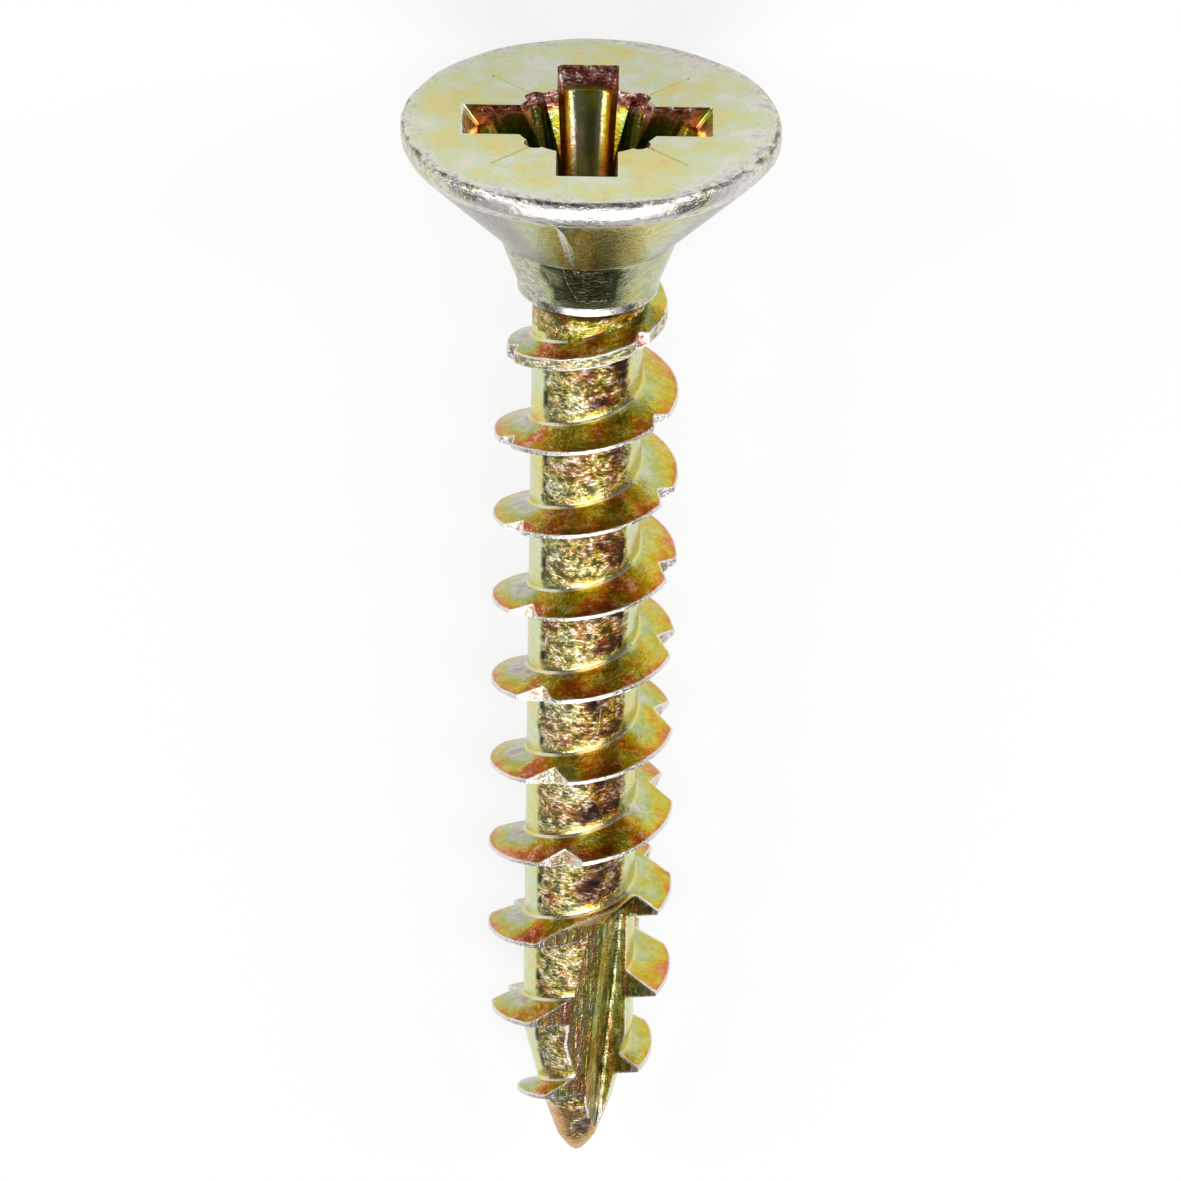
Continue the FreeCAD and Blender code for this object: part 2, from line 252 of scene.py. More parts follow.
# %% Spin one turn and repeat it
STEPS_PER_TURN = 144
bmesh.ops.spin(bm, geom=bm.verts[:] + bm.edges[:], cent=(0, 0, 0), axis=(0, 0, 1),
               dvec=(0, 0, PITCH / STEPS_PER_TURN), angle=math.radians(360),
               steps=STEPS_PER_TURN, use_merge=False)
one_turn = bm.verts[:] + bm.edges[:] + bm.faces[:]
for lap in range(1, turn_count):
    copy = bmesh.ops.duplicate(bm, geom=one_turn)["geom"]
    moved = [item for item in copy if isinstance(item, bmesh.types.BMVert)]
    bmesh.ops.translate(bm, verts=moved, vec=(0, 0, PITCH * lap))
print("turns laid end to end:", len(bm.faces), "faces")

# %% Move each point to its place on the thread
WELD = 0.0003
for vert in bm.verts:
    turn = turn_at(vert.co.z - start_shifts[vert[column]])
    vert.co.z = depth_at(turn) + column_shifts(turn)[vert[column]]
bmesh.ops.remove_doubles(bm, verts=bm.verts[:], dist=WELD)
print("thread strip:", len(bm.verts), "vertices")

# %% [markdown]
# ## The strip's ends and its skin
# The strip winds, so both of its ends are ragged. Bisecting planes cut them square, and more
# planes cut rings where the collar, its bead and the neck change their slope. A subdivision would
# add points everywhere, and a plane adds them only where the shape turns. Then every point moves
# out to the skin.

# %% Cut the strip square and add rings
SNAP = 0.0004
NECK_RINGS = (3.63, BEAD_TOP, 3.75, BEAD_FOOT, 3.86, 3.93, 4.02, 4.1, 4.2)


def cut_across(depth, way=1, clear_outer=False):
    """Cuts a ring into the strip at one depth, and clears what lies past it if asked."""
    bmesh.ops.bisect_plane(bm, geom=bm.verts[:] + bm.edges[:] + bm.faces[:], dist=SNAP,
                           plane_co=(0, 0, depth), plane_no=(0, 0, way), clear_outer=clear_outer)


cut_across(TOP_CUT, way=-1, clear_outer=True)
cut_across(LOW_CUT, clear_outer=True)
for depth in NECK_RINGS:
    cut_across(depth)
rims = [edge for edge in bm.edges if edge.is_boundary]
top_rim = [edge for edge in rims if edge.verts[0].co.z < TOP_CUT + 0.1]
low_rim = [edge for edge in rims if edge.verts[0].co.z > LOW_CUT - 0.1]
print("edges round the upper end:", len(top_rim), "and the lower end:", len(low_rim))

# %% Move every point out to the skin
for vert in bm.verts:
    angle = math.degrees(math.atan2(-vert.co.x, vert.co.y))
    radius = surface_radius(angle, vert.co.z)
    vert.co.x = -radius * math.sin(math.radians(angle))
    vert.co.y = radius * math.cos(math.radians(angle))
print("widest crest:", round(max(math.hypot(vert.co.x, vert.co.y) for vert in bm.verts), 3))

# %% [markdown]
# ## The head
# The head is upset from the same wire, so its skin runs on from the shank's without a seam. A
# separate turned head would need joining. Here the strip's open upper end is extruded ring by
# ring: up the collar, out along the countersink, round the rim and in over the flat face. Noise
# makes the rim slightly uneven, as an upset head is, and it is rounded by wear.


# %% Draw one ring
def draw_ring(edges, depth, radius, uneven=0.0):
    """Extrudes one ring of edges to a new depth and radius and returns the new ring."""
    result = bmesh.ops.extrude_edge_only(bm, edges=edges)["geom"]
    for vert in [item for item in result if isinstance(item, bmesh.types.BMVert)]:
        angle = math.atan2(vert.co.x, vert.co.y)
        place = Vector((math.sin(angle), math.cos(angle), 0))
        waver = 0.3 + 1.2 * noise.noise(place * 1.6) + 0.6 * noise.noise(place * 5.3)
        out = radius - uneven * max(waver, 0.0)
        lift = uneven * 0.6 * noise.noise(place * 3.1 + Vector((4, 0, 0)))
        vert.co = Vector((place.x * out, place.y * out, max(depth + lift, 0.0)))
    return [item for item in result if isinstance(item, bmesh.types.BMEdge)]


print("a ring has", len(top_rim), "edges")

# %% Rings of the head: depth, radius, unevenness
COLLAR_RINGS = [
    (3.0, 1.735, 0), (2.75, 1.823, 0), (2.6, 1.876, 0), (2.545, 1.9, 0), (2.5, 1.935, 0),
]
CONE_RINGS = [
    (2.4, 2.03, 0), (2.2, 2.23, 0), (1.9, 2.53, 0), (1.6, 2.83, 0), (1.3, 3.13, 0), (1.0, 3.43, 0),
    (0.75, 3.68, 0),
]
RIM_RINGS = [
    (0.6, 3.83, 0.02), (0.52, 3.905, 0.04), (0.46, 3.955, 0.05), (0.41, 3.985, 0.055),
    (0.33, 4.0, 0.055), (0.22, 4.0, 0.055), (0.14, 3.992, 0.055), (0.08, 3.972, 0.055),
    (0.035, 3.935, 0.05), (0.01, 3.89, 0.03), (0.0, 3.83, 0.0),
]
FACE_RINGS = [(0.0, radius, 0) for radius in (3.7, 3.4, 3.1, 2.8, 2.5, 2.0)]
ring = top_rim
for depth, radius, uneven in COLLAR_RINGS + CONE_RINGS + RIM_RINGS + FACE_RINGS:
    ring = draw_ring(ring, depth, radius, uneven)
bmesh.ops.contextual_create(bm, geom=ring)
print("with the head:", len(bm.faces), "faces")

# %% [markdown]
# ## The tip
# The dies pinch the wire off, which leaves a short blunt nose and not a needle. A cone would end
# in one sharp point. Smaller and smaller rings, whose radius falls slowly at first and fast at the
# end, round it off, and one face closes it.

# %% Draw the tip
TIP_SHARES = (0.15, 0.3, 0.45, 0.6, 0.72, 0.83, 0.92, 0.98)
TIP_ROUNDNESS = 0.64
tip_radius = between(BLANK, LOW_CUT)
ring = low_rim
for share in TIP_SHARES:
    ring = draw_ring(ring, LOW_CUT + (LENGTH - LOW_CUT) * share,
                     tip_radius * (1 - share) ** TIP_ROUNDNESS)
bmesh.ops.contextual_create(bm, geom=ring)
bmesh.ops.recalc_face_normals(bm, faces=bm.faces[:])
open_edges = sum(edge.is_boundary for edge in bm.edges)
print("blank and thread:", len(bm.faces), "faces, open edges:", open_edges)

# %% Make the screw's object
bm.to_mesh(mesh)
bm.free()
screw = bpy.data.objects.new("screw", mesh)
bpy.context.collection.objects.link(screw)
print("one skin of", len(mesh.vertices), "vertices")

# %% [markdown]
# ## Tools that cut
# On the real screw a punch forges the recess, the pinching dies leave the slot, and teeth in the
# rolling dies leave the serrations. Each can be modelled as the tool that makes it: a plain closed
# cutter that an exact boolean takes out of the skin. The faces could be pushed in by hand
# instead, but a cutter keeps the true section wherever it crosses the thread.


# %% Make an object of a bmesh
def new_object(name, bm):
    """A mesh object from a bmesh, with outward normals."""
    bmesh.ops.recalc_face_normals(bm, faces=bm.faces[:])
    data = bpy.data.meshes.new(name)
    bm.to_mesh(data)
    bm.free()
    item = bpy.data.objects.new(name, data)
    bpy.context.collection.objects.link(item)
    print(name, "has", len(data.polygons), "faces")
    return item


# %% Cut or join with a tool
def combine(base, tool, operation):
    """One exact boolean, applied at once; the tool is removed."""
    step = base.modifiers.new("cut", "BOOLEAN")
    step.operation = operation
    step.solver = "EXACT"
    step.object = tool
    graph = bpy.context.evaluated_depsgraph_get()
    graph.update()
    result = bpy.data.meshes.new_from_object(base.evaluated_get(graph))
    base.modifiers.clear()
    base.data = result
    bpy.data.objects.remove(tool)
    print(operation.lower(), "leaves", len(result.polygons), "faces")


# %% Draw a face out into a prism
def prism(bm, corners, way):
    """A face through the corners, drawn out along one direction into a closed prism."""
    verts = [bm.verts.new(corner) for corner in corners]
    face = bm.faces.new(verts)
    drawn_out = bmesh.ops.extrude_face_region(bm, geom=[face], use_keep_orig=True)["geom"]
    moved = [item for item in drawn_out if isinstance(item, bmesh.types.BMVert)]
    bmesh.ops.translate(bm, verts=moved, vec=way)
    return verts, moved


FAR_AWAY = 50


def tapered(bm, near, far):
    """A closed solid between two outlines that have the same number of corners."""
    away = Vector((0, 0, FAR_AWAY))
    verts, moved = prism(bm, near, away)
    for vert, target in zip(verts, far):
        partner = min(moved, key=lambda item: (item.co - vert.co - away).length)
        partner.co = target


trial = bmesh.new()
prism(trial, [(0, 0, 0), (1, 0, 0), (0, 1, 0)], (0, 0, 1))
print("a prism on a triangle has", len(trial.faces), "faces")
trial.free()

# %% [markdown]
# ## The scraper slot
# The slot runs along the point and clears the shavings. Its section is a square corner with a
# rounded valley and a side that leans away, and it falls inward toward the tip. It could be
# several planes, but one outline drawn out along the fall gives the same walls. A second, slanted
# run from the same outline makes the slot end in a slope at its top, as the die leaves it.

# %% Section of the slot
SLOT_TOP = LENGTH - 6.08
SLOT_TURN = math.radians(60)
SLOT_FACE = math.radians(33.8)
SLOT_RADIUS = 1.01
RELIEF_WIDTH = 0.6
RELIEF_ANGLE = math.radians(30)
REACH = 3.2
VALLEY = 0.1
VALLEY_STEPS = 5
outward = Vector((math.sin(SLOT_TURN), math.cos(SLOT_TURN), 0))


def slot_section():
    """The slot's outline across the screw: a rounded square corner and a relieved side."""
    relief_end = Vector((-math.sin(RELIEF_ANGLE) * REACH,
                         RELIEF_WIDTH + math.cos(RELIEF_ANGLE) * REACH, 0))
    corners = [Vector((REACH, 0, 0)), Vector((REACH, REACH, 0)), relief_end,
               Vector((0, RELIEF_WIDTH, 0))]
    for step in range(VALLEY_STEPS + 1):
        lead = math.radians(90 * step / VALLEY_STEPS)
        corners.append(Vector((VALLEY - VALLEY * math.cos(lead),
                               VALLEY - VALLEY * math.sin(lead), 0)))
    turned = Matrix.Rotation(SLOT_FACE, 4, "Z")
    centre = outward * SLOT_RADIUS
    return [turned @ corner + centre + Vector((0, 0, SLOT_TOP)) for corner in corners]


print("corners in the slot's section:", len(slot_section()))

# %% Cut the slot
SLOT_DRAW = 7.08
SLOT_FALL = math.tan(math.radians(5.4))
RUNOUT_CLIMB = 2.34
RUNOUT_ANGLE = math.radians(37)
cutter = bmesh.new()
mouth = prism(cutter, slot_section(),
              Vector((0, 0, SLOT_DRAW)) - outward * SLOT_DRAW * SLOT_FALL)[0]
top_face = next(face for face in cutter.faces if set(face.verts) == set(mouth))
runout = bmesh.ops.extrude_face_region(cutter, geom=[top_face])["geom"]
runout_verts = [item for item in runout if isinstance(item, bmesh.types.BMVert)]
rise = Vector((0, 0, RUNOUT_CLIMB / math.tan(RUNOUT_ANGLE)))
bmesh.ops.translate(cutter, verts=runout_verts, vec=outward * RUNOUT_CLIMB - rise)
inside = [face for face in cutter.faces if set(face.verts) == set(mouth)]
bmesh.ops.delete(cutter, geom=inside, context="FACES_ONLY")
combine(screw, new_object("slot", cutter), "DIFFERENCE")

# %% [markdown]
# ## The serrations
# Small vee notches saw into the wood's fibres. They stand a little less than a third of a turn
# apart, so that no two lie above each other, and they get deeper toward the point. They could be
# cut one at a time, but all of the vee prisms fit in one cutter, and one boolean is quicker.

# %% Cut the serrations
NOTCH_SPACING = 116.7
NOTCH_PHASE = 62
FIRST_NOTCH_SHARE = 0.18
FULL_NOTCH_SHARE = 0.55
FULL_NOTCH_DEPTH = 14.5
NOTCH_HALF_ANGLE = math.radians(53)
NOTCH_RISE = 0.3
NOTCH_REACH = PITCH * 0.3
low_turn = turn_at(NECK_CREST)
high_turn = turn_at(POINT_CREST)
full_turn = turn_at(FULL_NOTCH_DEPTH)
cutter = bmesh.new()
number = math.ceil((low_turn - NOTCH_PHASE) / NOTCH_SPACING)
first_number = number
while NOTCH_PHASE + number * NOTCH_SPACING < high_turn:
    turn = NOTCH_PHASE + number * NOTCH_SPACING
    growth = min((turn - low_turn) / (full_turn - low_turn), 1.0)
    deep = (FIRST_NOTCH_SHARE + (FULL_NOTCH_SHARE - FIRST_NOTCH_SHARE) * growth) * FULL_HEIGHT
    radius = crest_of(turn)[0]
    height = deep + NOTCH_RISE
    half = height * math.tan(NOTCH_HALF_ANGLE)
    spin = Matrix.Translation((0, 0, depth_at(turn))) @ Matrix.Rotation(math.radians(turn), 4, "Z")
    vee = [(0, radius - deep), (half, radius - deep + height), (-half, radius - deep + height)]
    prism(cutter, [spin @ Vector((x, y, -NOTCH_REACH)) for x, y in vee],
          Vector((0, 0, 2 * NOTCH_REACH)))
    number += 1
print("notches:", number - first_number)
combine(screw, new_object("serrations", cutter), "DIFFERENCE")

# %% [markdown]
# ## The recess
# The driver turns the screw in a cross of four wings, with a narrow slot in each corner between
# them. The punch is tapered, so that it comes out again, and its mouth is a little wider. One
# cutter with the whole cross could do it, but its corners would meet in slivers. Separate tapered
# wings, from the axis outward, overlap safely, and a cone and a shallow pit finish the middle.

# %% Outline of one wing
RECESS_DEPTH = 2.4
RECESS_ASIDE = -0.06
CORNER_STEPS = 6


def wing_outline(span, width, level, turn, corner):
    """One wing's outline at one level, from the axis out to its two rounded corners."""
    reach = span / 2
    half = width / 2
    outline = [Vector((0, -half, level))]
    there = range(CORNER_STEPS + 1)
    for side, steps in ((-1, there), (1, reversed(there))):
        for step in steps:
            lead = math.radians(90 * step / CORNER_STEPS)
            outline.append(Vector((reach - corner + corner * math.sin(lead),
                                   side * (half - corner + corner * math.cos(lead)), level)))
    outline.append(Vector((0, half, level)))
    turned = (Matrix.Translation((RECESS_ASIDE, 0, 0))
              @ Matrix.Rotation(math.radians(turn), 4, "Z"))
    return [turned @ point for point in outline]


print("corners in a wing's outline:", len(wing_outline(5, 1.3, 0, 0, 0.4)))

# %% Cut the wings and the corner slots
ABOVE = -0.1
WING_WIDTHS = {0: 1.36, 90: 1.27, 180: 1.36, 270: 1.27}


def cut_wing(name, turn, corner, mouth, foot):
    """Cuts one wing; its mouth and its foot are each a span over the axis, a width and a level."""
    cutter = bmesh.new()
    tapered(cutter, wing_outline(*mouth, turn, corner), wing_outline(*foot, turn, corner))
    combine(screw, new_object(name, cutter), "DIFFERENCE")


for turn, width in WING_WIDTHS.items():
    cut_wing("wing", turn, 0.42, (5.02, width, ABOVE), (2.75, width - 0.3, RECESS_DEPTH))
    cut_wing("wing_mouth", turn, 0.05, (5.38, width + 0.06, ABOVE), (4.6, width - 0.16, 0.42))
for turn in (45, 135, 225, 315):
    cut_wing("corner_slot", turn, 0.195, (3.56, 0.46, ABOVE), (2.5, 0.4, 1.9))


# %% Cut the cone between the wings and the floor
def cut_cone(name, place, segments, wide, narrow, depth):
    """Cuts a plain cone out of the recess."""
    cutter = bmesh.new()
    bmesh.ops.create_cone(cutter, cap_ends=True, segments=segments, radius1=wide, radius2=narrow,
                          depth=depth, matrix=Matrix.Translation(place))
    combine(screw, new_object(name, cutter), "DIFFERENCE")


cut_cone("recess_cone", (RECESS_ASIDE + 0.01, 0.013, 0.65), segments=64, wide=1.62, narrow=1.0,
         depth=1.5)
cut_cone("recess_floor", (RECESS_ASIDE, 0, RECESS_DEPTH), segments=48, wide=1.15, narrow=0.02,
         depth=0.7)

# %% [markdown]
# ## The nibs
# Four thin ribs under the head cut the countersink clean as the head is drawn in. Each has one
# steep side and one flat side, and tapers down the cone. A bevelled box would be even on both
# sides, so each nib is a lopsided triangle at the rim, drawn to a smaller one at the collar, and
# it is joined to the skin.

# %% Join the nibs
NIB_TURNS = (8, 98, 188, 278)
NIB_ENDS = ((3.82, 0.78, 0.12), (1.84, 0.24, 0.1))
NIB_ROOT = 0.12
FLAT_SIDE = 0.62
STEEP_SIDE = 0.4
SLANT = math.radians(45)


def nib_section(tool, radius, width, height):
    """A nib's triangle across the cone at one radius, rooted a little inside it."""
    foot = Vector((radius, 0, RIM_HEIGHT + (HEAD_RADIUS - radius)))
    rise = Vector((math.cos(SLANT), 0, math.sin(SLANT)))
    return [tool @ (foot - rise * NIB_ROOT + Vector((0, -width * FLAT_SIDE, 0))),
            tool @ (foot - rise * NIB_ROOT + Vector((0, width * STEEP_SIDE, 0))),
            tool @ (foot + rise * height)]


for turn in NIB_TURNS:
    cutter = bmesh.new()
    tool = Matrix.Rotation(math.radians(90 + turn), 4, "Z")
    wide_end, narrow_end = [nib_section(tool, *end) for end in NIB_ENDS]
    tapered(cutter, wide_end, narrow_end)
    combine(screw, new_object("nib", cutter), "UNION")

# %% [markdown]
# ## The score marks
# Four hairlines between the wings tell this kind of cross from the plain one. Paint alone has no
# shape, so each is a real groove. It is a shallow vee, because a vee catches a thin line of light
# where a box-shaped groove would only look dark.

# %% Cut the score marks
SCORE_DEPTH = 0.025
SCORE_START = 1.5
SCORE_LENGTH = 1.4
SCORE_VEE = [(-0.078, -0.04), (0.078, -0.04), (0, SCORE_DEPTH)]
for turn in (45, 135, 225, 315):
    cutter = bmesh.new()
    turned = Matrix.Rotation(math.radians(turn), 4, "Z")
    prism(cutter, [turned @ Vector((SCORE_START, y, z)) for y, z in SCORE_VEE],
          turned @ Vector((SCORE_LENGTH, 0, 0)))
    combine(screw, new_object("score_mark", cutter), "DIFFERENCE")

# %% [markdown]
# ## A mesh that can be painted
# The film, with its painted shade and highlights, will be painted on the mesh itself, so its faces
# have to be small enough to hold it.
# The booleans leave long slivers and large flat faces. A remesh would even them out but round the
# sharp crest. Here the doubles are merged, only the large faces are split, and only long edges are
# divided. Edges that turn by more than 34 degrees are marked sharp first.

# %% Merge and mark the sharp edges
SHARP = math.radians(34)
CUT_WELD = 0.0005


def split_large_faces():
    """Triangulates the faces that have more than four corners."""
    bmesh.ops.triangulate(bm, faces=[face for face in bm.faces if len(face.verts) > 4])


bm = bmesh.new()
bm.from_mesh(screw.data)
bmesh.ops.remove_doubles(bm, verts=bm.verts[:], dist=CUT_WELD)
split_large_faces()
bmesh.ops.recalc_face_normals(bm, faces=bm.faces[:])
sharp = [edge for edge in bm.edges
         if len(edge.link_faces) == 2 and edge.calc_face_angle() > SHARP]
for edge in sharp:
    edge.smooth = False
print("sharp edges:", len(sharp))

# %% Divide the long edges
LONGEST = 0.22
ROUNDS = 5
for step in range(ROUNDS):
    long_edges = [edge for edge in bm.edges if edge.calc_length() > LONGEST]
    if not long_edges:
        break
    bmesh.ops.subdivide_edges(bm, edges=long_edges, cuts=1, use_grid_fill=True)
    split_large_faces()
open_edges = sum(not edge.is_manifold for edge in bm.edges)
print("refined to", len(bm.faces), "faces,", open_edges, "open edges")

# %% [markdown]
# ## The regions of the screw
# Each region was formed in its own way and has its own look: a forged cone, a rolled land, a
# pinched slot. Material slots could be set by hand, but the booleans renumber the faces. So every
# face is asked where it lies: its depth, its distance from the axis, which way it faces, and
# whether it lies below the skin that was there before the cuts.

# %% Name the regions of the head
SCORE_SPAN = (1.78, 2.96)
SCORE_HALF = 0.032
RECESS_CONE = [(0, 2.68), (2.9, 1.2)]
RECESS_END = 2.95
RIM_END = 0.62
NECK_END = 4.6


def head_zone(radius, depth, off_score, out):
    """Region of the head or the neck that a place belongs to, or None below them."""
    blank = between(BLANK, depth)
    on_score = SCORE_SPAN[0] < radius < SCORE_SPAN[1] and off_score < SCORE_HALF
    if depth < SCORE_DEPTH + 0.001 and on_score:
        return "score"
    if depth < RECESS_END and radius < between(RECESS_CONE, depth):
        return "recess" if depth > 0.003 else "top"
    if depth < 0.003 or (depth < 0.02 and radius < 3.86):
        return "top"
    if depth < RIM_END:
        return "rim"
    if depth < COLLAR_TOP[0] + 0.1 and radius > blank + 0.012:
        return "nib"
    if depth < COLLAR_TOP[0] + 0.02:
        return "cone"
    if depth < COLLAR_FOOT and out > 0.8 and radius < blank + 0.02:
        return "collar"
    if depth < NECK_END and radius < blank + 0.05:
        return "neck"
    return None


print("on the axis, 2 mm down:", head_zone(0.0, 2.0, 1.0, 0.0))

# %% Name the regions of the shank
NOSE_START = 24.1
SLOT_ZONE_START = 17.5


def zone_of(face):
    """Name of the region that a face belongs to, from its place and its slope."""
    centre = face.calc_center_median()
    radius = math.hypot(centre.x, centre.y)
    normal = face.normal
    out = (normal.x * centre.x + normal.y * centre.y) / max(radius, 1e-6)
    depth = centre.z
    off_score = abs(abs(centre.x) - abs(centre.y)) / math.sqrt(2)
    zone = head_zone(radius, depth, off_score, out)
    if zone:
        return zone
    if depth > NOSE_START:
        return "land"
    whole = surface_radius(math.degrees(math.atan2(-centre.x, centre.y)), depth)
    if radius < whole - 0.02 and depth > SLOT_ZONE_START:
        return "slot"
    if radius < whole - 0.025:
        return "notch"
    if radius > between(BLANK, depth) + 0.06:
        if abs(normal.z) < 0.55 and out > 0.7:
            return "crest"
        return "upper" if normal.z < 0 else "lower"
    return "land"


zones = {face: zone_of(face) for face in bm.faces}
print("regions:", sorted(set(zones.values())))

# %% [markdown]
# ## Where the plating is rubbed, with painted edge highlights
# Plating wears off first on the edges that stand out, and the thin bright line painted along them
# stands both for that bare zinc and for a painted highlight on the edge. A shader can find edges
# with its bevel node, but that is slow, and it finds the hollow ones too. So each point stores how
# far it is from the nearest sharp edge that stands out, found with a search tree of points along
# those edges. Noise widens the rubbed line in places along the slot, which looks chipped. The
# recess's mouth and the score marks stay out, because their edges aren't rubbed on the real one.

# %% Measure the distance to the nearest edge
EDGE_STEP = 0.04
FAR_ENOUGH = 0.4
CHIP = 0.06
edge_points = []
for edge in bm.edges:
    if edge.smooth or len(edge.link_faces) != 2 or not edge.is_convex:
        continue
    meeting = {zones[face] for face in edge.link_faces}
    if meeting <= {"top", "recess", "score"} or meeting == {"slot"}:
        continue
    parts = max(int(edge.calc_length() / EDGE_STEP), 1)
    for step in range(parts + 1):
        point = edge.verts[0].co.lerp(edge.verts[1].co, step / parts)
        chip = CHIP * max(noise.noise(point * 3.7) + 0.25, 0) if "slot" in meeting else 0.0
        edge_points.append((point, chip))
search = kdtree.KDTree(len(edge_points))
for index, (point, chip) in enumerate(edge_points):
    search.insert(point, index)
search.balance()
edge_layer = bm.verts.layers.float.new("edge_distance")
for vert in bm.verts:
    place, index, distance = search.find(vert.co)
    vert[edge_layer] = min(max(distance - edge_points[index][1], 0.0), FAR_ENOUGH)
print("points along the edges:", len(edge_points))

# %% [markdown]
# ## The painted film, with painted shade and highlights
# The passivation shows by how thick it is: silver and lilac where it is thin, then mint, yellow,
# gold, salmon and pink. One noise texture over everything would give a rainbow, but not a screw,
# because each region holds its own part of that scale. So each corner of each face gets four
# values: the film's place on the scale, its shade, its paleness and the coarseness of its grain.
# The shade and the paleness also carry painted shade and painted highlights, besides the film's
# own tone. The next cells give a recipe for each region. Each takes a point, its angle round the
# screw, which is 0 in front, and a broad and a fine random patch.

# %% Random patches and soft steps
# film, its painted shade, its paleness with painted highlights, and its grain
film_and_light_layer = bm.loops.layers.float_color.new("film_and_painted_light")
drawn_layer = bm.loops.layers.float.new("drawn")


def patches(point, scale, seed):
    """Soft random patches from 0 to 1."""
    place = Vector((point.x * scale + seed, point.y * scale - seed, point.z * scale + 2.3 * seed))
    return min(max(0.5 + 0.8 * noise.noise(place) + 0.35 * noise.noise(place * 2.7), 0.0), 1.0)


def fade(value, low, high):
    """0 below one value, 1 above another, smooth between."""
    share = min(max((value - low) / (high - low), 0.0), 1.0)
    return share * share * (3 - 2 * share)


print("half way up a soft step:", fade(0.5, 0, 1))

# %% [markdown]
# ### The recess
# The curved walls carry painted reflections and painted shade. Under the mouth they are speckled
# and shaded; below that the side wings have a painted bright band over a foot in painted shade,
# and the wing that is seen from the front has upright painted reflections: pale lines and a dark
# middle in painted shade. Short tables along the depth, or across the wing, give these bands.

# %% Paint the recess
SIDE_FILM = [(0, 0.9), (0.18, 0.78), (0.24, 0.66), (0.38, 0.8), (0.5, 0.36), (0.8, 0.3)]
SIDE_SHADE = [(0, 0.5), (0.16, 0.4), (0.22, 0.0), (0.38, 0.0), (0.5, 0.4), (0.8, 0.5)]
REFLECTION_BAND_LEVEL = 0.31
MOUTH_LEVEL = 0.36


def recess_side_reflections(aside, level):
    """A side wing: speckled under its mouth, then a painted bright band over painted shade."""
    film = between(SIDE_FILM, level)
    shade = between(SIDE_SHADE, level)
    grain = 0.85 * (1 - fade(level, 0.16, 0.22))
    # painted highlight: a bright band across the side wing's wall
    pale = (1 - fade(abs(level - REFLECTION_BAND_LEVEL), 0.06, 0.12)) * 0.3
    end = fade(aside, 2.3, 2.42)
    return (film + (0.4 - film) * end, shade + (0.45 - shade) * end,
            pale * (1 - 0.8 * end), grain * (1 - 0.6 * end))


REFLECTION_FILM = [(0, 0.3), (0.22, 0.33), (0.34, 0.1), (0.42, 0.62), (0.5, 0.76), (0.58, 0.5),
               (0.68, 0.34)]
REFLECTION_SHADE = [(0, 0.66), (0.12, 0.5), (0.28, 0.2), (0.34, 0.0), (0.4, 0.1), (0.5, 0.4),
                (0.6, 0.7)]
REFLECTION_HIGHLIGHT = [(0, 0), (0.28, 0.05), (0.34, 0.7), (0.4, 0.0)]
MIDDLE_FILM = [(-0.3, 0.16), (-0.12, 0.25), (0.02, 0.29), (0.2, 0.32), (0.3, 0.14)]
MIDDLE_SHADE = [(-0.3, 0.1), (-0.16, 0.4), (0.0, 0.74), (0.14, 0.76), (0.24, 0.4), (0.3, 0)]


def recess_reflections_and_shade(point, turn, broad, fine):
    """The recess: its side wings, its speckled mouth, or painted reflections in the middle wings.
    """
    across = point.x - RECESS_ASIDE
    aside = abs(across)
    level = point.z + 0.06 * (fine - 0.5)
    if aside > 0.72 and abs(point.y) < 0.8:
        return recess_side_reflections(aside, level)
    if level < MOUTH_LEVEL:
        return 0.84 + 0.1 * fine, 0.54, 0.06, 0.9
    # painted reflections: pale lines and darker bands across the wing
    film = between(REFLECTION_FILM, aside)
    shade = between(REFLECTION_SHADE, aside)
    pale = between(REFLECTION_HIGHLIGHT, aside)
    if point.x > RECESS_ASIDE:
        film += 0.5 * pale
        pale *= 0.2
    # painted shade down the middle of the wing
    if aside < 0.3:
        upper = 1 - fade(level, 0.55, 0.95)
        film = between(MIDDLE_FILM, across) + 0.1 * upper
        shade = between(MIDDLE_SHADE, across) * (1 - 0.25 * upper)
    return film + 0.14 * (fine - 0.5), shade, pale, 0.16


print("film in the recess:", round(recess_reflections_and_shade(Vector((0, 1, 1)), 0, 0.5, 0.5)[0], 2))

# %% [markdown]
# ### The head
# The flat face is smooth and mottled in mint and yellow. The rim is silver in front, partly rubbed
# to bare zinc and partly a painted highlight, and keeps a dark line above and below. The nibs have
# painted light, yellow, on one side and painted shade, grey, on the other, and the cone is golden
# in front and in painted shade at its sides.


# %% Paint the face and the rim
def top_finish(point, turn, broad, fine):
    """The flat face: smooth and mottled, paler toward its rim."""
    outer = fade(math.hypot(point.x, point.y) + 0.25 * (fine - 0.5), 3.5, 3.85)
    film = 0.12 + 0.32 * broad + 0.18 * (fine - 0.4)
    return film * (1 - 0.6 * outer), 0.12 * outer, 0.16 + 0.12 * fine, 0.06 + 0.22 * outer


def score_film_and_shade(point, turn, broad, fine):
    """The score marks: the face's own film, with painted shade in the groove."""
    # painted shade in the groove
    return 0.3 + 0.2 * fine, 0.24, 0.1, 0.1


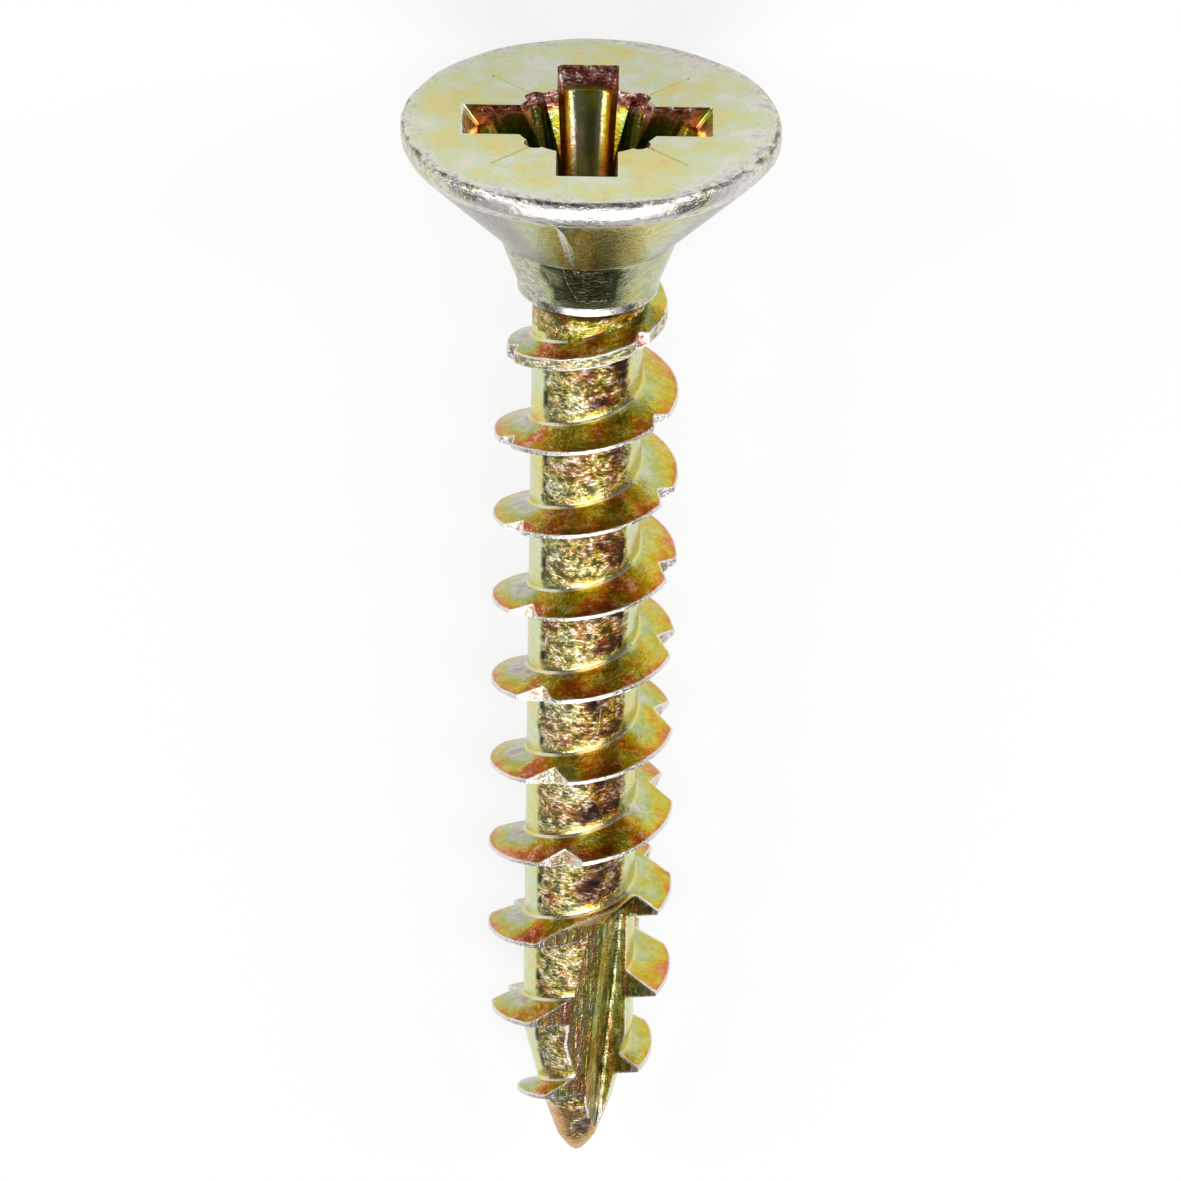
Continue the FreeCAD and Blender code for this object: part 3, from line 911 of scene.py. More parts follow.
def rim_wear_and_highlight(point, turn, broad, fine):
    """The rim: worn zinc and a painted highlight in front, with a broken dark line above and
    below.
    """
    # silver in front in patches: rubbed zinc and a painted highlight
    front = 1 - fade(abs(turn + 8), 38, 62)
    worn_and_highlit = fade(patches(point, 1.2, 8.0), 0.12, 0.3) * front
    level = point.z + 0.07 * (fine - 0.5)
    lines = max(1.4 - abs(level - 0.05) / 0.07, 1 - abs(level - 0.52) / 0.07, 0.0)
    lines = min(lines, 1.0) * (0.4 + 0.6 * fade(patches(point, 6.0, 2.0), 0.3, 0.6))
    film = 0.05 + 0.3 * fine * (1 - worn_and_highlit)
    shade = max(0.82 * lines, 0.2 * (1 - worn_and_highlit))
    pale = (0.45 + 0.5 * worn_and_highlit) * (1 - 0.4 * lines)
    return film, shade, pale, 0.34 + 0.34 * lines + 0.1 * (1 - worn_and_highlit)


print("paleness of the rim in front:", round(rim_wear_and_highlight(Vector((0, 4, 0.3)), 0, 0.5, 0.5)[2], 2))


# %% Paint the nibs and the cone
def nib_lit_and_shaded(point, turn, broad, fine):
    """A nib: painted shade, grey, on its steep side; painted light, yellow, on its flat one."""
    # the steep side painted as shaded and the flat side painted as lit
    if (turn - 8 + 45) % 90 > 45:
        return 0.06, 0.3, 0.35, 0.1
    return 0.46 + 0.1 * (fine - 0.5), 0.0, 0.25, 0.1


def cone_film_and_shade(point, turn, broad, fine):
    """The countersink: golden in front, thin film and painted shade at its sides."""
    middle = 1 - fade(abs(turn + 7), 16, 40)
    film = 0.02 + 0.42 * middle * (0.7 + 0.4 * broad)
    # painted shade grows toward the cone's sides
    return film + 0.1 * (1 - middle), 0.74 - 0.57 * middle, 0.08, 0.12 + 0.12 * middle


print("shade of the cone in front:", round(cone_film_and_shade(Vector(), 0, 0.5, 0.5)[1], 2))

# %% [markdown]
# ### The collar and the neck
# The collar has a painted dark reflection in front, of the shaded side of the scene, and its bead
# is a painted highlight line with dull spots. The neck below it is deep gold and rough, with
# painted shade darkest right under the bead.

# %% Paint the collar and the neck
BEAD_PAINT = (3.66, 3.86)


def bead_highlight(point, turn, fine):
    """The bead at the collar's foot: a painted highlight line in front, with dull spots."""
    # painted highlight along the bead in front, fading at the sides
    front_highlight = 1 - fade(abs(turn) + 14 * (fine - 0.5), 30, 46)
    dull = 0.5 * fade(patches(point, 4.0, 17.0), 0.5, 0.66)
    return 0.18, dull * front_highlight + 0.42 * (1 - front_highlight), 0.9 * front_highlight * (1 - dull), 0.1 + 0.6 * dull


def collar_film_and_reflection(point, turn, broad, fine):
    """The collar: a painted dark reflection in front, with ragged sides."""
    if BEAD_PAINT[0] < point.z < BEAD_PAINT[1]:
        return bead_highlight(point, turn, fine)
    # painted dark reflection across the collar's front, with ragged sides
    inside = fade(turn + 5 * fine, -21, -17) * (1 - fade(turn + 16 * fine, 28, 40))
    inside *= 1 - fade(point.z + 0.3 * fine, 3.55, 3.8)
    left = fade(turn, 30, 45)
    film = 0.24 - 0.14 * left + 0.16 * broad
    return film, 0.45 + 0.43 * inside, 0.2 * (1 - inside), 0.16 + 0.34 * max(inside, left)


def neck_film_and_shade(point, turn, broad, fine):
    """The neck: deep gold, with painted shade darkest right under the bead."""
    if point.z < BEAD_PAINT[1]:
        return bead_highlight(point, turn, fine)
    # painted shade in the groove under the bead, lighter further down
    return 0.5 + 0.24 * (fine - 0.5), 0.9 - 0.38 * fade(point.z, 3.95, 4.12), 0.0, 0.7


print("shade of the collar in front:", round(collar_film_and_reflection(Vector(), 0, 0.5, 0.5)[1], 2))

# %% [markdown]
# ### The land between the turns
# The flat dies press the land in front, which leaves a scaly, glittering patch. Where the two dies
# part it is smooth, with a dark strip beside the patch. A painted highlight lies along the foot
# above each crest, with a thin painted highlight line at the root. These bands follow the thread,
# so they are placed by how far a point lies between two crests.

# %% Paint the land
TIP_PAINT = 23.2


def thread_place(point, turn):
    """How far a point lies below the crest above it, as a share of the pitch; the root's share."""
    base = (turn_at(point.z) - turn) / 360
    nearest = turn + 360 * (math.floor(base) + 1)
    radius, half, core = crest_of(nearest)
    return base - math.floor(base), 1 - (half + max(radius - core, 0) * FLANK) / PITCH


def tip_finish(point, turn, broad, fine):
    """The nose: warm gold, with a dark gouge where the wire was pinched off."""
    gouge = (point.z - 23.68) ** 2 / 0.13 + (turn + 14) ** 2 / 700 + 1.2 * (fine - 0.5)
    gouge = 1 - fade(gouge, 0.4, 1.3)
    return 0.66 + 0.3 * (broad - 0.5), max(0.3, 0.85 * gouge), 0.15, 0.3 + 0.7 * gouge


def land_film_and_highlight(point, turn, broad, fine):
    """The land: scaly in front, smooth where the dies part, with a painted highlight at its foot.
    """
    if point.z > TIP_PAINT:
        return tip_finish(point, turn, broad, fine)
    share, root = thread_place(point, turn)
    rough = 1.0 - fade(abs(turn + 10 * (fine - 0.5)), 45, 52)
    strip = max(fade(turn, 42, 45) - fade(turn, 49, 53), 0) * fade(fine, 0.48, 0.66)
    # painted highlights: a band along the foot above each crest and a thin line at the root
    foot = fade(share, root - 0.13 - 0.1 * (fine - 0.5), root - 0.04)
    line = fade(share, root - 0.03, root - 0.012)
    line *= 1 - fade(abs(turn), 48, 62)
    coarse = patches(point, 1.7, 12.0)
    right = fade(-turn, -14, 16) * (1 - fade(-turn, 42, 52))
    shade = 0.3 * rough + (0.26 * right * (0.5 + coarse) + 0.36 * coarse) * rough * (1 - foot)
    scaly = 0.4 + 0.34 * (coarse - 0.3) + 0.14 * right
    film = 0.26 + 0.2 * broad
    film += (scaly - film) * rough * (1 - foot) + 0.1 * foot
    grain = (0.08 + 0.92 * rough) * (1 - 0.6 * foot)
    pale = 0.16 * (1 - rough) + 0.3 * rough * (1 - 0.7 * right) * fine
    shade = max(shade * (1 - line), 0.92 * strip * (1 - foot))
    return film, shade, max(pale, 0.85 * line), grain * (1 - line)


print("root as a share of the pitch:", round(thread_place(Vector((0, 1.2, 10)), 0)[1], 2))

# %% [markdown]
# ### The flanks
# The upper flank faces the light. It is deep amber in front, darkened there by painted shade, and
# runs from lilac over mint and yellow to salmon where it stands out at the sides. The lower flank,
# the crest and the notches are paler, and the first blunt crests are duller than the sharp ones.

# %% Paint the flanks
LEFT_FILM = [(0, 0.08), (0.4, 0.14), (0.62, 0.42), (0.88, 0.56), (1, 0.74)]
LEFT_SHADE = [(0, 0.42), (0.5, 0.4), (1, 0.22)]
RIGHT_FILM = [(0, 0.27), (0.25, 0.38), (0.6, 0.49), (0.86, 0.56), (1, 0.72)]
RIGHT_SHADE = [(0, 0.16)]


def flank_height(point):
    """How high a point stands on a flank, from 0 at the core to 1 at a full crest."""
    core = between(BLANK, point.z)
    return min(max((math.hypot(point.x, point.y) - core) / FULL_HEIGHT, 0.0), 1.0)


def lower_finish(point, turn, broad, fine):
    """The lower flank, which faces the tip."""
    return 0.2 + 0.4 * flank_height(point) + 0.2 * broad, 0.15, 0.15, 0.2


def upper_flank_film_and_shade(point, turn, broad, fine):
    """The upper flank: amber with painted shade in front, and the whole scale at the sides."""
    height = flank_height(point)
    front = 1.0 - fade(abs(turn), 40, 60)
    side = between(LEFT_FILM if turn > 0 else RIGHT_FILM, height)
    shade = between(LEFT_SHADE if turn > 0 else RIGHT_SHADE, height)
    first_turns = 0.1 * (1 - fade(point.z, 5.6, 6.2)) * fade(turn, -20, 20)
    ends = fade(turn, 24, 46) * 0.08
    middle = 0.42 + 0.2 * patches(point, 2.4, 21.0) + 0.1 * height + ends + first_turns
    film = side + (middle - side) * front + 0.16 * (broad - 0.5) + 0.2 * (fine - 0.5)
    # painted shade on the front of the flank, deepest toward the crest
    deep = 0.3 + 0.34 * patches(point, 1.9, 31.0) + 0.14 * fade(height, 0.55, 1.0)
    return film, shade + (deep - shade) * front, 0.0, 0.14 + 0.2 * front


print("height on the flank at the core:", flank_height(Vector((0, CORE_RADIUS, 10))))

# %% Paint the crest and the notches
BLUNT_END = 6.2


def notch_finish(point, turn, broad, fine):
    """A notch's two faces."""
    if point.z < BLUNT_END:
        return 0.86, 0.4, 0.2, 0.7
    return 0.86 - 0.6 * fine, 0.16, 0.5, 0.7


def crest_finish(point, turn, broad, fine):
    """The crest's narrow land."""
    if point.z < BLUNT_END:
        return 0.3 + 0.3 * fine, 0.2, 0.3, 0.9
    return 0.1 + 0.2 * fine, 0.1 + 0.4 * (1 - fade(fine, 0.25, 0.6)), 0.66, 0.6


print("paleness of a sharp crest:", crest_finish(Vector((0, 0, 10)), 0, 0.5, 0.5)[2])

# %% [markdown]
# ### The slot
# The dies draw the metal along the slot, so its colours run in long streaks. Its deep face is in
# painted shade, its relieved side goes from painted shade at the valley to painted highlight
# streaks outward, and the valley between them is chipped in places. The streaks come from patches
# that are stretched along the screw.

# %% Paint the slot
RELIEF_FILM = [(0, 0.38), (0.25, 0.34), (0.45, 0.46), (0.7, 0.5), (0.95, 0.56), (1.5, 0.6)]
RELIEF_SHADE = [(0, 0.74), (0.25, 0.74), (0.45, 0.62), (0.7, 0.46), (0.95, 0.26), (1.5, 0.22)]


def slot_film_and_shade(point, turn, broad, fine):
    """The pinched slot: drawn streaks, a chipped valley, painted shade and an outer painted
    highlight.
    """
    fall = max(point.z - SLOT_TOP, 0) * SLOT_FALL
    flat = Vector((point.x, point.y, 0)) - outward * (SLOT_RADIUS - fall)
    aside = (Matrix.Rotation(-SLOT_FACE, 3, "Z") @ flat).y
    along = Vector((point.x * 3, point.y * 3, point.z * 0.3))
    streak = patches(along, 1.6, 9.0)
    thin = patches(along, 4.2, 4.0)
    chips = (1 - fade(abs(aside - 0.08), 0.03, 0.1)) * fade(patches(point, 4.5, 14.0), 0.52, 0.72)
    # painted shade on the deep face and by the valley
    if aside < 0.04:
        film = 0.46 + 0.24 * (streak - 0.5)
        shade = 0.74 + 0.24 * (thin - 0.5)
    else:
        calm = 1 - 0.6 * fade(aside, 0.6, 0.9)
        film = between(RELIEF_FILM, aside)
        film += (0.26 * (streak - 0.5) + 0.14 * (thin - 0.5)) * calm
        shade = between(RELIEF_SHADE, aside)
        shade += (0.34 * (thin - 0.5) + 0.2 * (streak - 0.5)) * calm
    # painted highlight streaks toward the relieved side's outer edge
    outer_highlight = 0.04 + (0.06 + 0.2 * fade(thin, 0.5, 0.85)) * fade(aside, 0.6, 0.9)
    return film, max(shade * (1 - chips), 0), max(0.7 * chips, outer_highlight), 0.2


print("shade beside the valley:", between(RELIEF_SHADE, 0.1))

# %% [markdown]
# ### Paint every corner
# The recipes are kept in a table by region. The paint goes on the corners of the faces and not on
# the points, because two regions share the points along their border, and each keeps its own
# colour there.

# %% Paint every corner
RECIPES = {
    "top": top_finish, "score": score_film_and_shade, "rim": rim_wear_and_highlight, "nib": nib_lit_and_shaded,
    "cone": cone_film_and_shade, "collar": collar_film_and_reflection, "neck": neck_film_and_shade, "recess": recess_reflections_and_shade,
    "slot": slot_film_and_shade, "notch": notch_finish, "crest": crest_finish, "land": land_film_and_highlight,
    "upper": upper_flank_film_and_shade, "lower": lower_finish,
}


def film_and_light_at(zone, point):
    """Film, shade, paleness and grain at one point of one zone."""
    turn = math.degrees(math.atan2(-point.x, point.y))
    return RECIPES[zone](point, turn, patches(point, 0.9, 1.0), patches(point, 2.6, 5.0))


tally = {}
for face in bm.faces:
    zone = zones[face]
    tally[zone] = tally.get(zone, 0) + 1
    for loop in face.loops:
        loop[film_and_light_layer] = film_and_light_at(zone, loop.vert.co)
        loop[drawn_layer] = 1.0 if zone == "slot" else 0.0
print("faces in each zone:", tally)

# %% [markdown]
# ## Laid down
# A screw can't stand, so it lies on its rim and one crest, as it would come to rest, and leans by
# about six degrees. The object could be turned, but the frame wants every object at the origin,
# unturned and unscaled. So the mesh itself is turned, scaled from millimetres to metres and moved
# to the place that the CAD gives.

# %% Lay the screw down
MILLIMETRE = 0.001
LEAN = math.radians(6.0629)
HEAD_PLACE = Vector((0, 0.0119962, 0.0040301))
lay = (Matrix.Translation(HEAD_PLACE) @ Matrix.Rotation(math.radians(90) + LEAN, 4, "X")
       @ Matrix.Scale(MILLIMETRE, 4))
bmesh.ops.transform(bm, matrix=lay, verts=bm.verts[:])
for face in bm.faces:
    face.smooth = True
bm.to_mesh(screw.data)
print("triangles", sum(len(face.verts) - 2 for face in bm.faces))
bm.free()
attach(screw, "root")
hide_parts("wood_screw")

# %% [markdown]
# ## Yellow-passivated zinc
# The plating is a real metal under a clear film, so it is a Principled shader that is fully
# metallic, and the film's colour goes into its base colour. A thin-film setting could work out the
# colours itself, but a painted place on a scale of colours can be matched to the real part, and it
# survives the export. The first cells make small helpers, so that the rest reads as arithmetic.

# %% Start the material
film_and_painted_light = bpy.data.materials.new("yellow_zinc")
film_and_painted_light.use_nodes = True
tree_nodes = film_and_painted_light.node_tree.nodes
links = film_and_painted_light.node_tree.links
shader = tree_nodes["Principled BSDF"]
shader.inputs["Metallic"].default_value = 1.0


def node(kind, inputs=None, **settings):
    """Adds one node with its settings and its plain input values."""
    item = tree_nodes.new(kind)
    for name, value in settings.items():
        setattr(item, name, value)
    for name, value in (inputs or {}).items():
        item.inputs[name].default_value = value
    return item


def feed(item, index, value):
    """Gives one input a number, a colour or a link from a socket."""
    if isinstance(value, (int, float)):
        item.inputs[index].default_value = value
    elif isinstance(value, tuple):
        item.inputs[index].default_value = value + (1,)
    else:
        links.new(value, item.inputs[index])


print("material", film_and_painted_light.name, "starts with", len(tree_nodes), "nodes")


# %% Arithmetic with sockets
def math_node(operation, first, second=None, clamp=False):
    """One arithmetic step; each input is a socket or a number."""
    item = node("ShaderNodeMath", operation=operation, use_clamp=clamp)
    feed(item, 0, first)
    if second is not None:
        feed(item, 1, second)
    return item.outputs[0]


def plus(first, second, clamp=False):
    """Their sum."""
    return math_node("ADD", first, second, clamp)


def minus(first, second):
    """Their difference."""
    return math_node("SUBTRACT", first, second)


def times(first, second):
    """Their product."""
    return math_node("MULTIPLY", first, second)


def swing(value, amount):
    """Noise from 0 to 1, turned into a swing to both sides of 0."""
    return times(minus(value, 0.5), amount)


print("arithmetic helpers:", [helper.__name__ for helper in (plus, minus, times, swing)])


# %% Mix colours and stretch ranges
def mix(factor, first, second):
    """One colour mix; each input is a socket, a number or a colour."""
    item = node("ShaderNodeMix", data_type="RGBA")
    for index, value in ((0, factor), (6, first), (7, second)):
        feed(item, index, value)
    return item.outputs[2]


def ramp(value, low, high, first=0.0, last=1.0):
    """A value carried from one range to another, held at both ends."""
    item = node("ShaderNodeMapRange")
    for index, part in enumerate((value, low, high, first, last)):
        feed(item, index, part)
    return item.outputs[0]


def colour(red, green, blue):
    """A colour seen on a screen, 0 to 255, as the shader's linear value."""
    result = []
    for part in (red, green, blue):
        part /= 255
        result.append(part / 12.92 if part <= 0.04045 else ((part + 0.055) / 1.055) ** 2.4)
    return tuple(result)


print("middle grey in linear light:", round(colour(128, 128, 128)[0], 3))

# %% [markdown]
# ## Noise in the screw's own millimetres
# A texture needs a place to read from. Object coordinates are in metres and lie as the screw
# lies. One mapping node turns them back into the screw's own axis and millimetres, so that
# streaks can run along the screw and every scale below is a number per millimetre.

# %% The screw's own coordinates
place = node("ShaderNodeTexCoord")
own = node("ShaderNodeMapping", vector_type="TEXTURE",
           inputs={"Location": HEAD_PLACE, "Rotation": (math.radians(90) + LEAN, 0, 0),
                   "Scale": (MILLIMETRE, MILLIMETRE, MILLIMETRE)})
links.new(place.outputs["Object"], own.inputs["Vector"])


def noise_node(scale, detail=3.0, roughness=0.55, stretch=(1, 1, 1), distortion=0.0):
    """Noise in the screw's own millimetres."""
    spread = node("ShaderNodeMapping", {"Scale": stretch})
    links.new(own.outputs[0], spread.inputs["Vector"])
    item = node("ShaderNodeTexNoise", {"Scale": scale, "Detail": detail, "Roughness": roughness,
                                       "Distortion": distortion})
    links.new(spread.outputs[0], item.inputs["Vector"])
    return item.outputs["Fac"]


print("coordinates scaled by", MILLIMETRE)

# %% Read the painted values
painted = node("ShaderNodeAttribute", attribute_name="film_and_painted_light")
channels = node("ShaderNodeSeparateColor")
links.new(painted.outputs["Color"], channels.inputs[0])
film, shade, pale = channels.outputs[0], channels.outputs[1], channels.outputs[2]
grain = painted.outputs["Alpha"]
edge_distance = node("ShaderNodeAttribute", attribute_name="edge_distance").outputs["Fac"]
drawn = node("ShaderNodeAttribute", attribute_name="drawn").outputs["Fac"]
print("painted values:", [item.attribute_name for item in tree_nodes
                          if item.type == "ATTRIBUTE"])

# %% [markdown]
# ## The film's colour
# Passivation runs in clouds and flecks, finer than the painted mesh can hold. So the painted place
# on the scale is moved by noise of four kinds: broad clouds, fine mottle, the grit of the scaly
# land, and furrows along the slot. Then a colour ramp turns the place on the scale into a colour.

# %% Move the film by noise
CLOUDS = 0.5
MOTTLE = 0.22
SPECKLE = 0.8
FURROWS = 0.8
CLUSTERS = 0.9
furrow = swing(noise_node(7, 3, 0.6, (1, 1, 0.07)), drawn)
cloud = noise_node(2.2, 4, 0.6)
mottle = noise_node(9, 3, 0.6)
speck = noise_node(10, 3, 0.62, (1, 1, 2.1), 0.4)
cluster = noise_node(4.4, 2, 0.5, (1, 1, 1.4))
grit = plus(speck, swing(cluster, CLUSTERS))
film_value = plus(film, swing(cloud, CLOUDS))
film_value = plus(film_value, swing(mottle, MOTTLE))
film_value = plus(film_value, times(furrow, FURROWS))
film_value = plus(film_value, swing(grit, times(grain, SPECKLE)), clamp=True)
print("nodes for the film:", len(tree_nodes))

# %% Turn the film into a colour
STOPS = [
    (0.0, (205, 196, 200)), (0.14, (226, 221, 205)), (0.28, (206, 216, 166)),
    (0.4, (212, 210, 118)), (0.52, (224, 204, 70)), (0.63, (226, 168, 60)),
    (0.74, (228, 150, 104)), (0.86, (232, 164, 150)), (1.0, (212, 164, 176)),
]
scale = node("ShaderNodeValToRGB")
while len(scale.color_ramp.elements) < len(STOPS):
    scale.color_ramp.elements.new(0.5)
for element, (position, seen) in zip(scale.color_ramp.elements, STOPS):
    element.position = position
    element.color = colour(*seen) + (1,)
links.new(film_value, scale.inputs[0])
print("colours on the scale:", len(STOPS))

# %% [markdown]
# ## Painted shade, pits and flecks
# A shaded place on metal isn't grey: its colour gets deeper. A gamma node deepens the hue, where a
# plain darkening would dull it, and pale places, bare zinc and painted highlights alike, turn to
# silver. The grain adds brown pits and bright flecks from the same grit that moves the film, so
# that they sit on its scales. The same grit raises the relief, so they are partly the grit's own
# tone and partly painted shade in its low pits and painted glints on its high points.

# %% Shade and silver
DEEPENING = 1.3
DARKENING = 0.45
SILVER = colour(232, 228, 224)
deepened = node("ShaderNodeGamma")
links.new(scale.outputs[0], deepened.inputs[0])
links.new(plus(1.0, times(shade, DEEPENING)), deepened.inputs[1])
tint = mix(times(shade, DARKENING), deepened.outputs[0], (0, 0, 0))
tint = mix(pale, tint, SILVER)
print("silver in linear light:", [round(part, 2) for part in SILVER])

# %% Pits, flecks and the darkest shade
PIT_TONE_AND_SHADE = colour(60, 40, 24)
FLECK_TONE_AND_GLINT = colour(250, 240, 224)
SHADOW = colour(26, 24, 18)
open_grain = times(grain, minus(1.0, times(pale, 0.75)))
# painted shade in the grit's low pits, with their own brown tone
pits_and_shade = times(ramp(grit, 0.465, 0.4), open_grain)
tint = mix(times(pits_and_shade, 0.9), tint, PIT_TONE_AND_SHADE)
# painted glints on the grit's high points, with their own pale tone
flecks_and_glints = times(ramp(grit, 0.56, 0.63), grain)
tint = mix(times(flecks_and_glints, 0.8), tint, FLECK_TONE_AND_GLINT)
tint = mix(ramp(shade, 0.55, 0.95, 0.0, 0.93), tint, SHADOW)
print("nodes with the grain:", len(tree_nodes))

# %% [markdown]
# ## Rubbed edges with painted highlights, and scratches
# The stored distance gives a thin bright line along every edge that stands out, both worn plating
# and a painted highlight, and noise makes its width uneven. Hairline scratches are where a very
# slow noise crosses its middle value. That gives long thin curves without an image, and a second
# noise breaks them up.

# %% Rubbed edges with painted highlights
RUBBED_HIGHLIGHT_WIDTH = 0.016
RUBBED_HIGHLIGHT_UNEVEN = 0.05
RUBBED_HIGHLIGHT = colour(238, 236, 236)
edge_noise = noise_node(14, 2, 0.6)
line = minus(plus(RUBBED_HIGHLIGHT_WIDTH, times(edge_noise, RUBBED_HIGHLIGHT_UNEVEN)), edge_distance)
# bright line along edges that stand out: worn plating and a painted edge highlight
tint = mix(times(ramp(line, 0.0, 0.02), 0.85), tint, RUBBED_HIGHLIGHT)
print("rubbed line, at most", RUBBED_HIGHLIGHT_WIDTH + RUBBED_HIGHLIGHT_UNEVEN, "wide")

# %% Scratches
SCRATCH = colour(214, 208, 196)
hair = math_node("ABSOLUTE", minus(noise_node(1.3, 1, 0.4, (1, 1, 0.5)), 0.5))
scratch = times(ramp(hair, 0.006, 0.002), ramp(noise_node(1.9, 1), 0.48, 0.58))
tint = mix(times(scratch, 0.5), tint, SCRATCH)
# the base colour holds the film's tone with the painted shade and highlights
links.new(tint, shader.inputs["Base Color"])
print("base colour linked:", shader.inputs["Base Color"].is_linked)

# %% [markdown]
# ## Shine and relief
# Bright zinc is nearly a mirror, and silvery places, worn zinc and painted highlights alike, are
# duller, so the roughness is low and follows the mottle and the paleness. Real shapes are in the
# mesh already. Bump gives only what is finer than the mesh: the land's grit, a soft waviness, a
# fine tooth and the slot's furrows.

# %% Roughness
satin = plus(ramp(mottle, 0.3, 0.7, 0.1, 0.24), ramp(pale, 0.5, 0.9, 0.0, 0.2))
satin = plus(satin, times(drawn, 0.06))
links.new(satin, shader.inputs["Roughness"])
print("roughness linked:", shader.inputs["Roughness"].is_linked)

# %% Relief
GRIT_HEIGHT = 0.042
WAVE_HEIGHT = 0.006
TOOTH_HEIGHT = 0.0012
FURROW_HEIGHT = 0.035
relief = swing(grit, times(grain, GRIT_HEIGHT))
relief = plus(relief, times(noise_node(5, 3, 0.5), WAVE_HEIGHT))
relief = plus(relief, times(noise_node(40, 2, 0.5), TOOTH_HEIGHT))
relief = plus(relief, times(furrow, FURROW_HEIGHT))
bump = node("ShaderNodeBump", {"Strength": 1.0, "Distance": MILLIMETRE})
links.new(relief, bump.inputs["Height"])
links.new(bump.outputs[0], shader.inputs["Normal"])
screw.data.materials.clear()
screw.data.materials.append(film_and_painted_light)
print("nodes in the finished material:", len(tree_nodes))

# %% [markdown]
# ## The floor
# The screw is shown on a plain white ground. Lights strong enough to turn a grey floor white would
# burn out the metal too. So the floor is pale grey for the light that falls on it, and it glows a
# little for the camera and for reflections, which keeps the screw's shadow and shows white in the
# metal.

# %% Make the floor
FLOOR_HALF = 1.5
bm = bmesh.new()
bmesh.ops.create_grid(bm, x_segments=1, y_segments=1, size=FLOOR_HALF)
floor = new_object("floor", bm)
pale_floor = bpy.data.materials.new("pale_floor")
pale_floor.use_nodes = True
floor_nodes = pale_floor.node_tree.nodes
floor_links = pale_floor.node_tree.links
floor_shader = floor_nodes["Principled BSDF"]
floor_shader.inputs["Base Color"].default_value = (0.82, 0.82, 0.82, 1)
floor_shader.inputs["Roughness"].default_value = 1.0
floor.data.materials.append(pale_floor)

# %% Let the floor glow for the camera and for reflections
SEEN_GLOW = 0.8
MIRRORED_GLOW = 0.55
glow = floor_nodes.new("ShaderNodeEmission")
blend = floor_nodes.new("ShaderNodeMixShader")
path = floor_nodes.new("ShaderNodeLightPath")
either = floor_nodes.new("ShaderNodeMath")
either.operation = "MAXIMUM"
for index, (ray, share) in enumerate((("Is Camera Ray", SEEN_GLOW),
                                      ("Is Glossy Ray", MIRRORED_GLOW))):
    part = floor_nodes.new("ShaderNodeMath")
    part.operation = "MULTIPLY"
    part.inputs[1].default_value = share
    floor_links.new(path.outputs[ray], part.inputs[0])
    floor_links.new(part.outputs[0], either.inputs[index])
floor_links.new(either.outputs[0], blend.inputs[0])
floor_links.new(floor_shader.outputs[0], blend.inputs[1])
floor_links.new(glow.outputs[0], blend.inputs[2])
floor_links.new(blend.outputs[0], floor_nodes["Material Output"].inputs[0])
print("floor material nodes:", len(floor_nodes))

# %% [markdown]
# ## The light
# Metal shows its surroundings more than its own colour, so small lamps would leave it black with
# hard sparks. Three large soft rectangles, one above the tip's side and one at each flank, give
# broad reflections that follow the cone and the core, and a dim white world fills the rest.

# %% World and soft lamps
WORLD_STRENGTH = 0.14
LAMP_DISTANCE = 0.6
world = bpy.data.worlds.new("studio")
world.use_nodes = True
bpy.context.scene.world = world
world.node_tree.nodes["Background"].inputs["Color"].default_value = (1, 1, 1, 1)
world.node_tree.nodes["Background"].inputs["Strength"].default_value = WORLD_STRENGTH


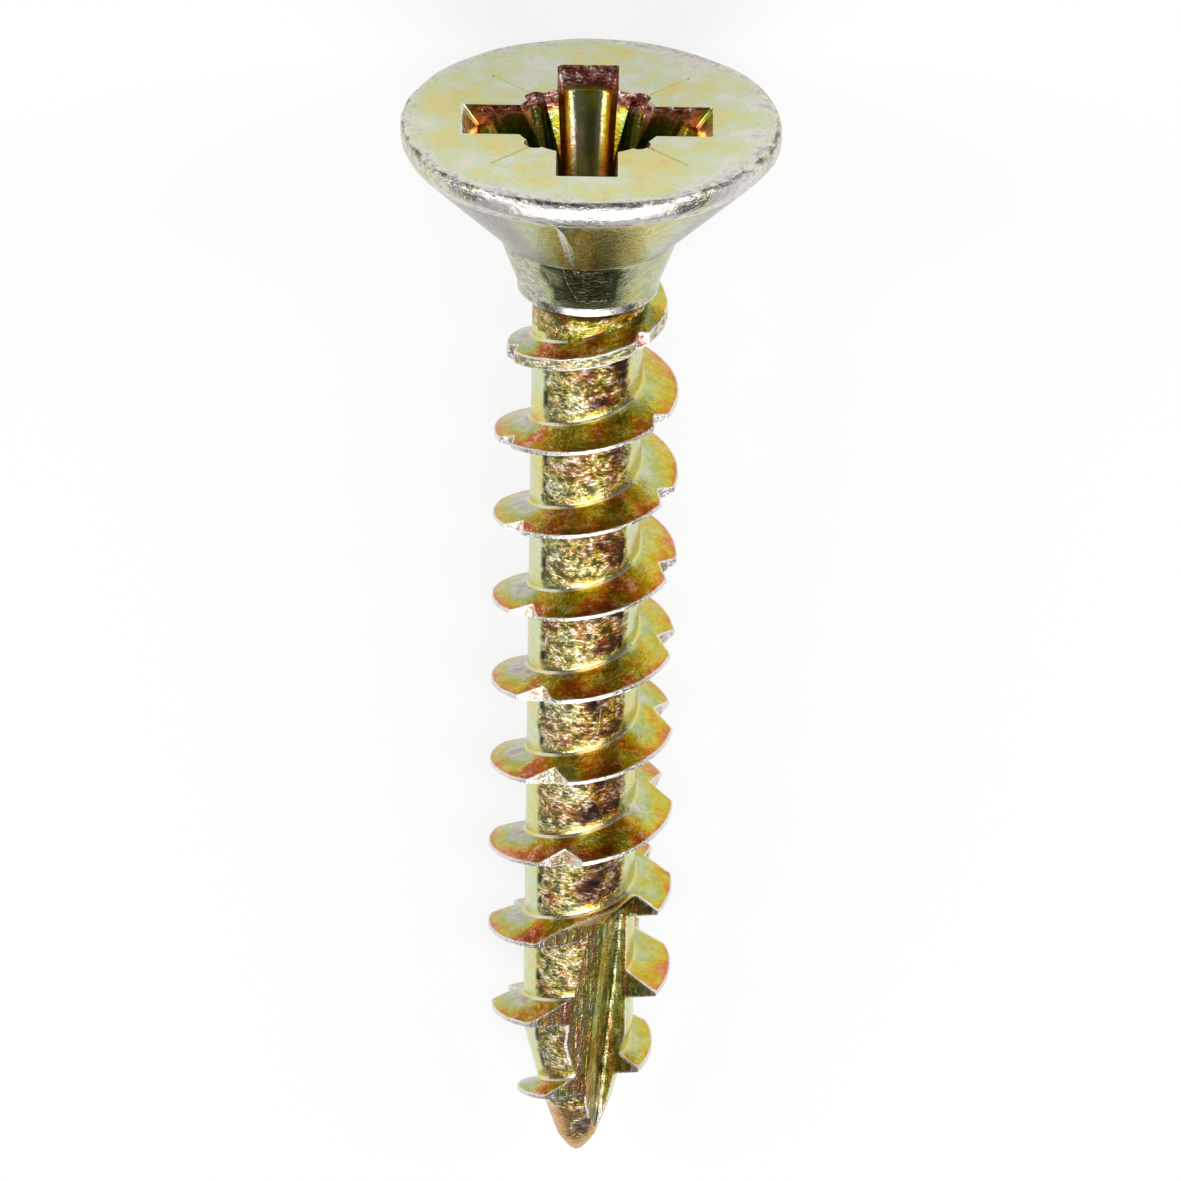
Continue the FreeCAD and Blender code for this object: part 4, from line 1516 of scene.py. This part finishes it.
def softbox(name, direction, width, height, watts):
    """A soft rectangular lamp that looks at the screw."""
    lamp = bpy.data.lights.new(name, "AREA")
    lamp.shape = "RECTANGLE"
    lamp.size = width
    lamp.size_y = height
    lamp.energy = watts
    item = bpy.data.objects.new(name, lamp)
    away = Vector(direction).normalized()
    item.location = away * LAMP_DISTANCE
    item.rotation_euler = away.to_track_quat("Z", "Y").to_euler()
    bpy.context.collection.objects.link(item)
    print("lamp", name, watts, "W")


softbox("key", (0.05, -0.46, 0.88), 0.7, 0.22, 3.4)
softbox("left", (-0.85, 0.3, 0.6), 0.25, 0.3, 1.4)
softbox("right", (0.85, 0.35, 0.6), 0.25, 0.3, 1.4)

# %% [markdown]
# ## The camera
# The camera looks down on the lying screw, tilted toward the head's end so that the flat face
# shows as an ellipse. It stands far away for the screw's size, so that both ends have nearly the
# same scale; a wide lens close up would swell the head. The lens is given by its focal length in
# pixels, the camera is rolled by under a degree, and it aims at the middle of the screw.

# %% Directions of the view
VIEW_RISE = math.radians(26.4)
VIEW_ROLL = math.radians(0.8)
FOCAL_PIXELS = 21573.0
AIM_PIXELS = 470
view_rise = VIEW_RISE - LEAN
toward = Vector((0, math.sin(view_rise), math.cos(view_rise)))
image_up = Vector((0, math.cos(view_rise), -math.sin(view_rise)))
image_right = Vector((1, 0, 0))
right = image_right * math.cos(VIEW_ROLL) + image_up * math.sin(VIEW_ROLL)
up = image_up * math.cos(VIEW_ROLL) - image_right * math.sin(VIEW_ROLL)
aim = math.atan(AIM_PIXELS / FOCAL_PIXELS)
back = toward * math.cos(aim) + up * math.sin(aim)
true_up = up * math.cos(aim) - toward * math.sin(aim)
print("camera stands toward", [round(part, 3) for part in back])

# %% Place the camera
IMAGE_WIDTH = 1181
SENSOR_WIDTH = 36
CAMERA_DISTANCE = 0.45
camera_data = bpy.data.cameras.new("camera")
camera_data.lens = FOCAL_PIXELS / IMAGE_WIDTH * SENSOR_WIDTH
camera_data.sensor_width = SENSOR_WIDTH
camera_data.clip_start = 0.01
camera = bpy.data.objects.new("camera", camera_data)
bpy.context.collection.objects.link(camera)
turned = Matrix((right, true_up, back)).transposed().to_4x4()
camera.matrix_world = Matrix.Translation(HEAD_PLACE + toward * CAMERA_DISTANCE) @ turned
bpy.context.scene.camera = camera
bpy.context.scene.view_settings.view_transform = "Standard"
print("lens", round(camera_data.lens, 1), "mm")
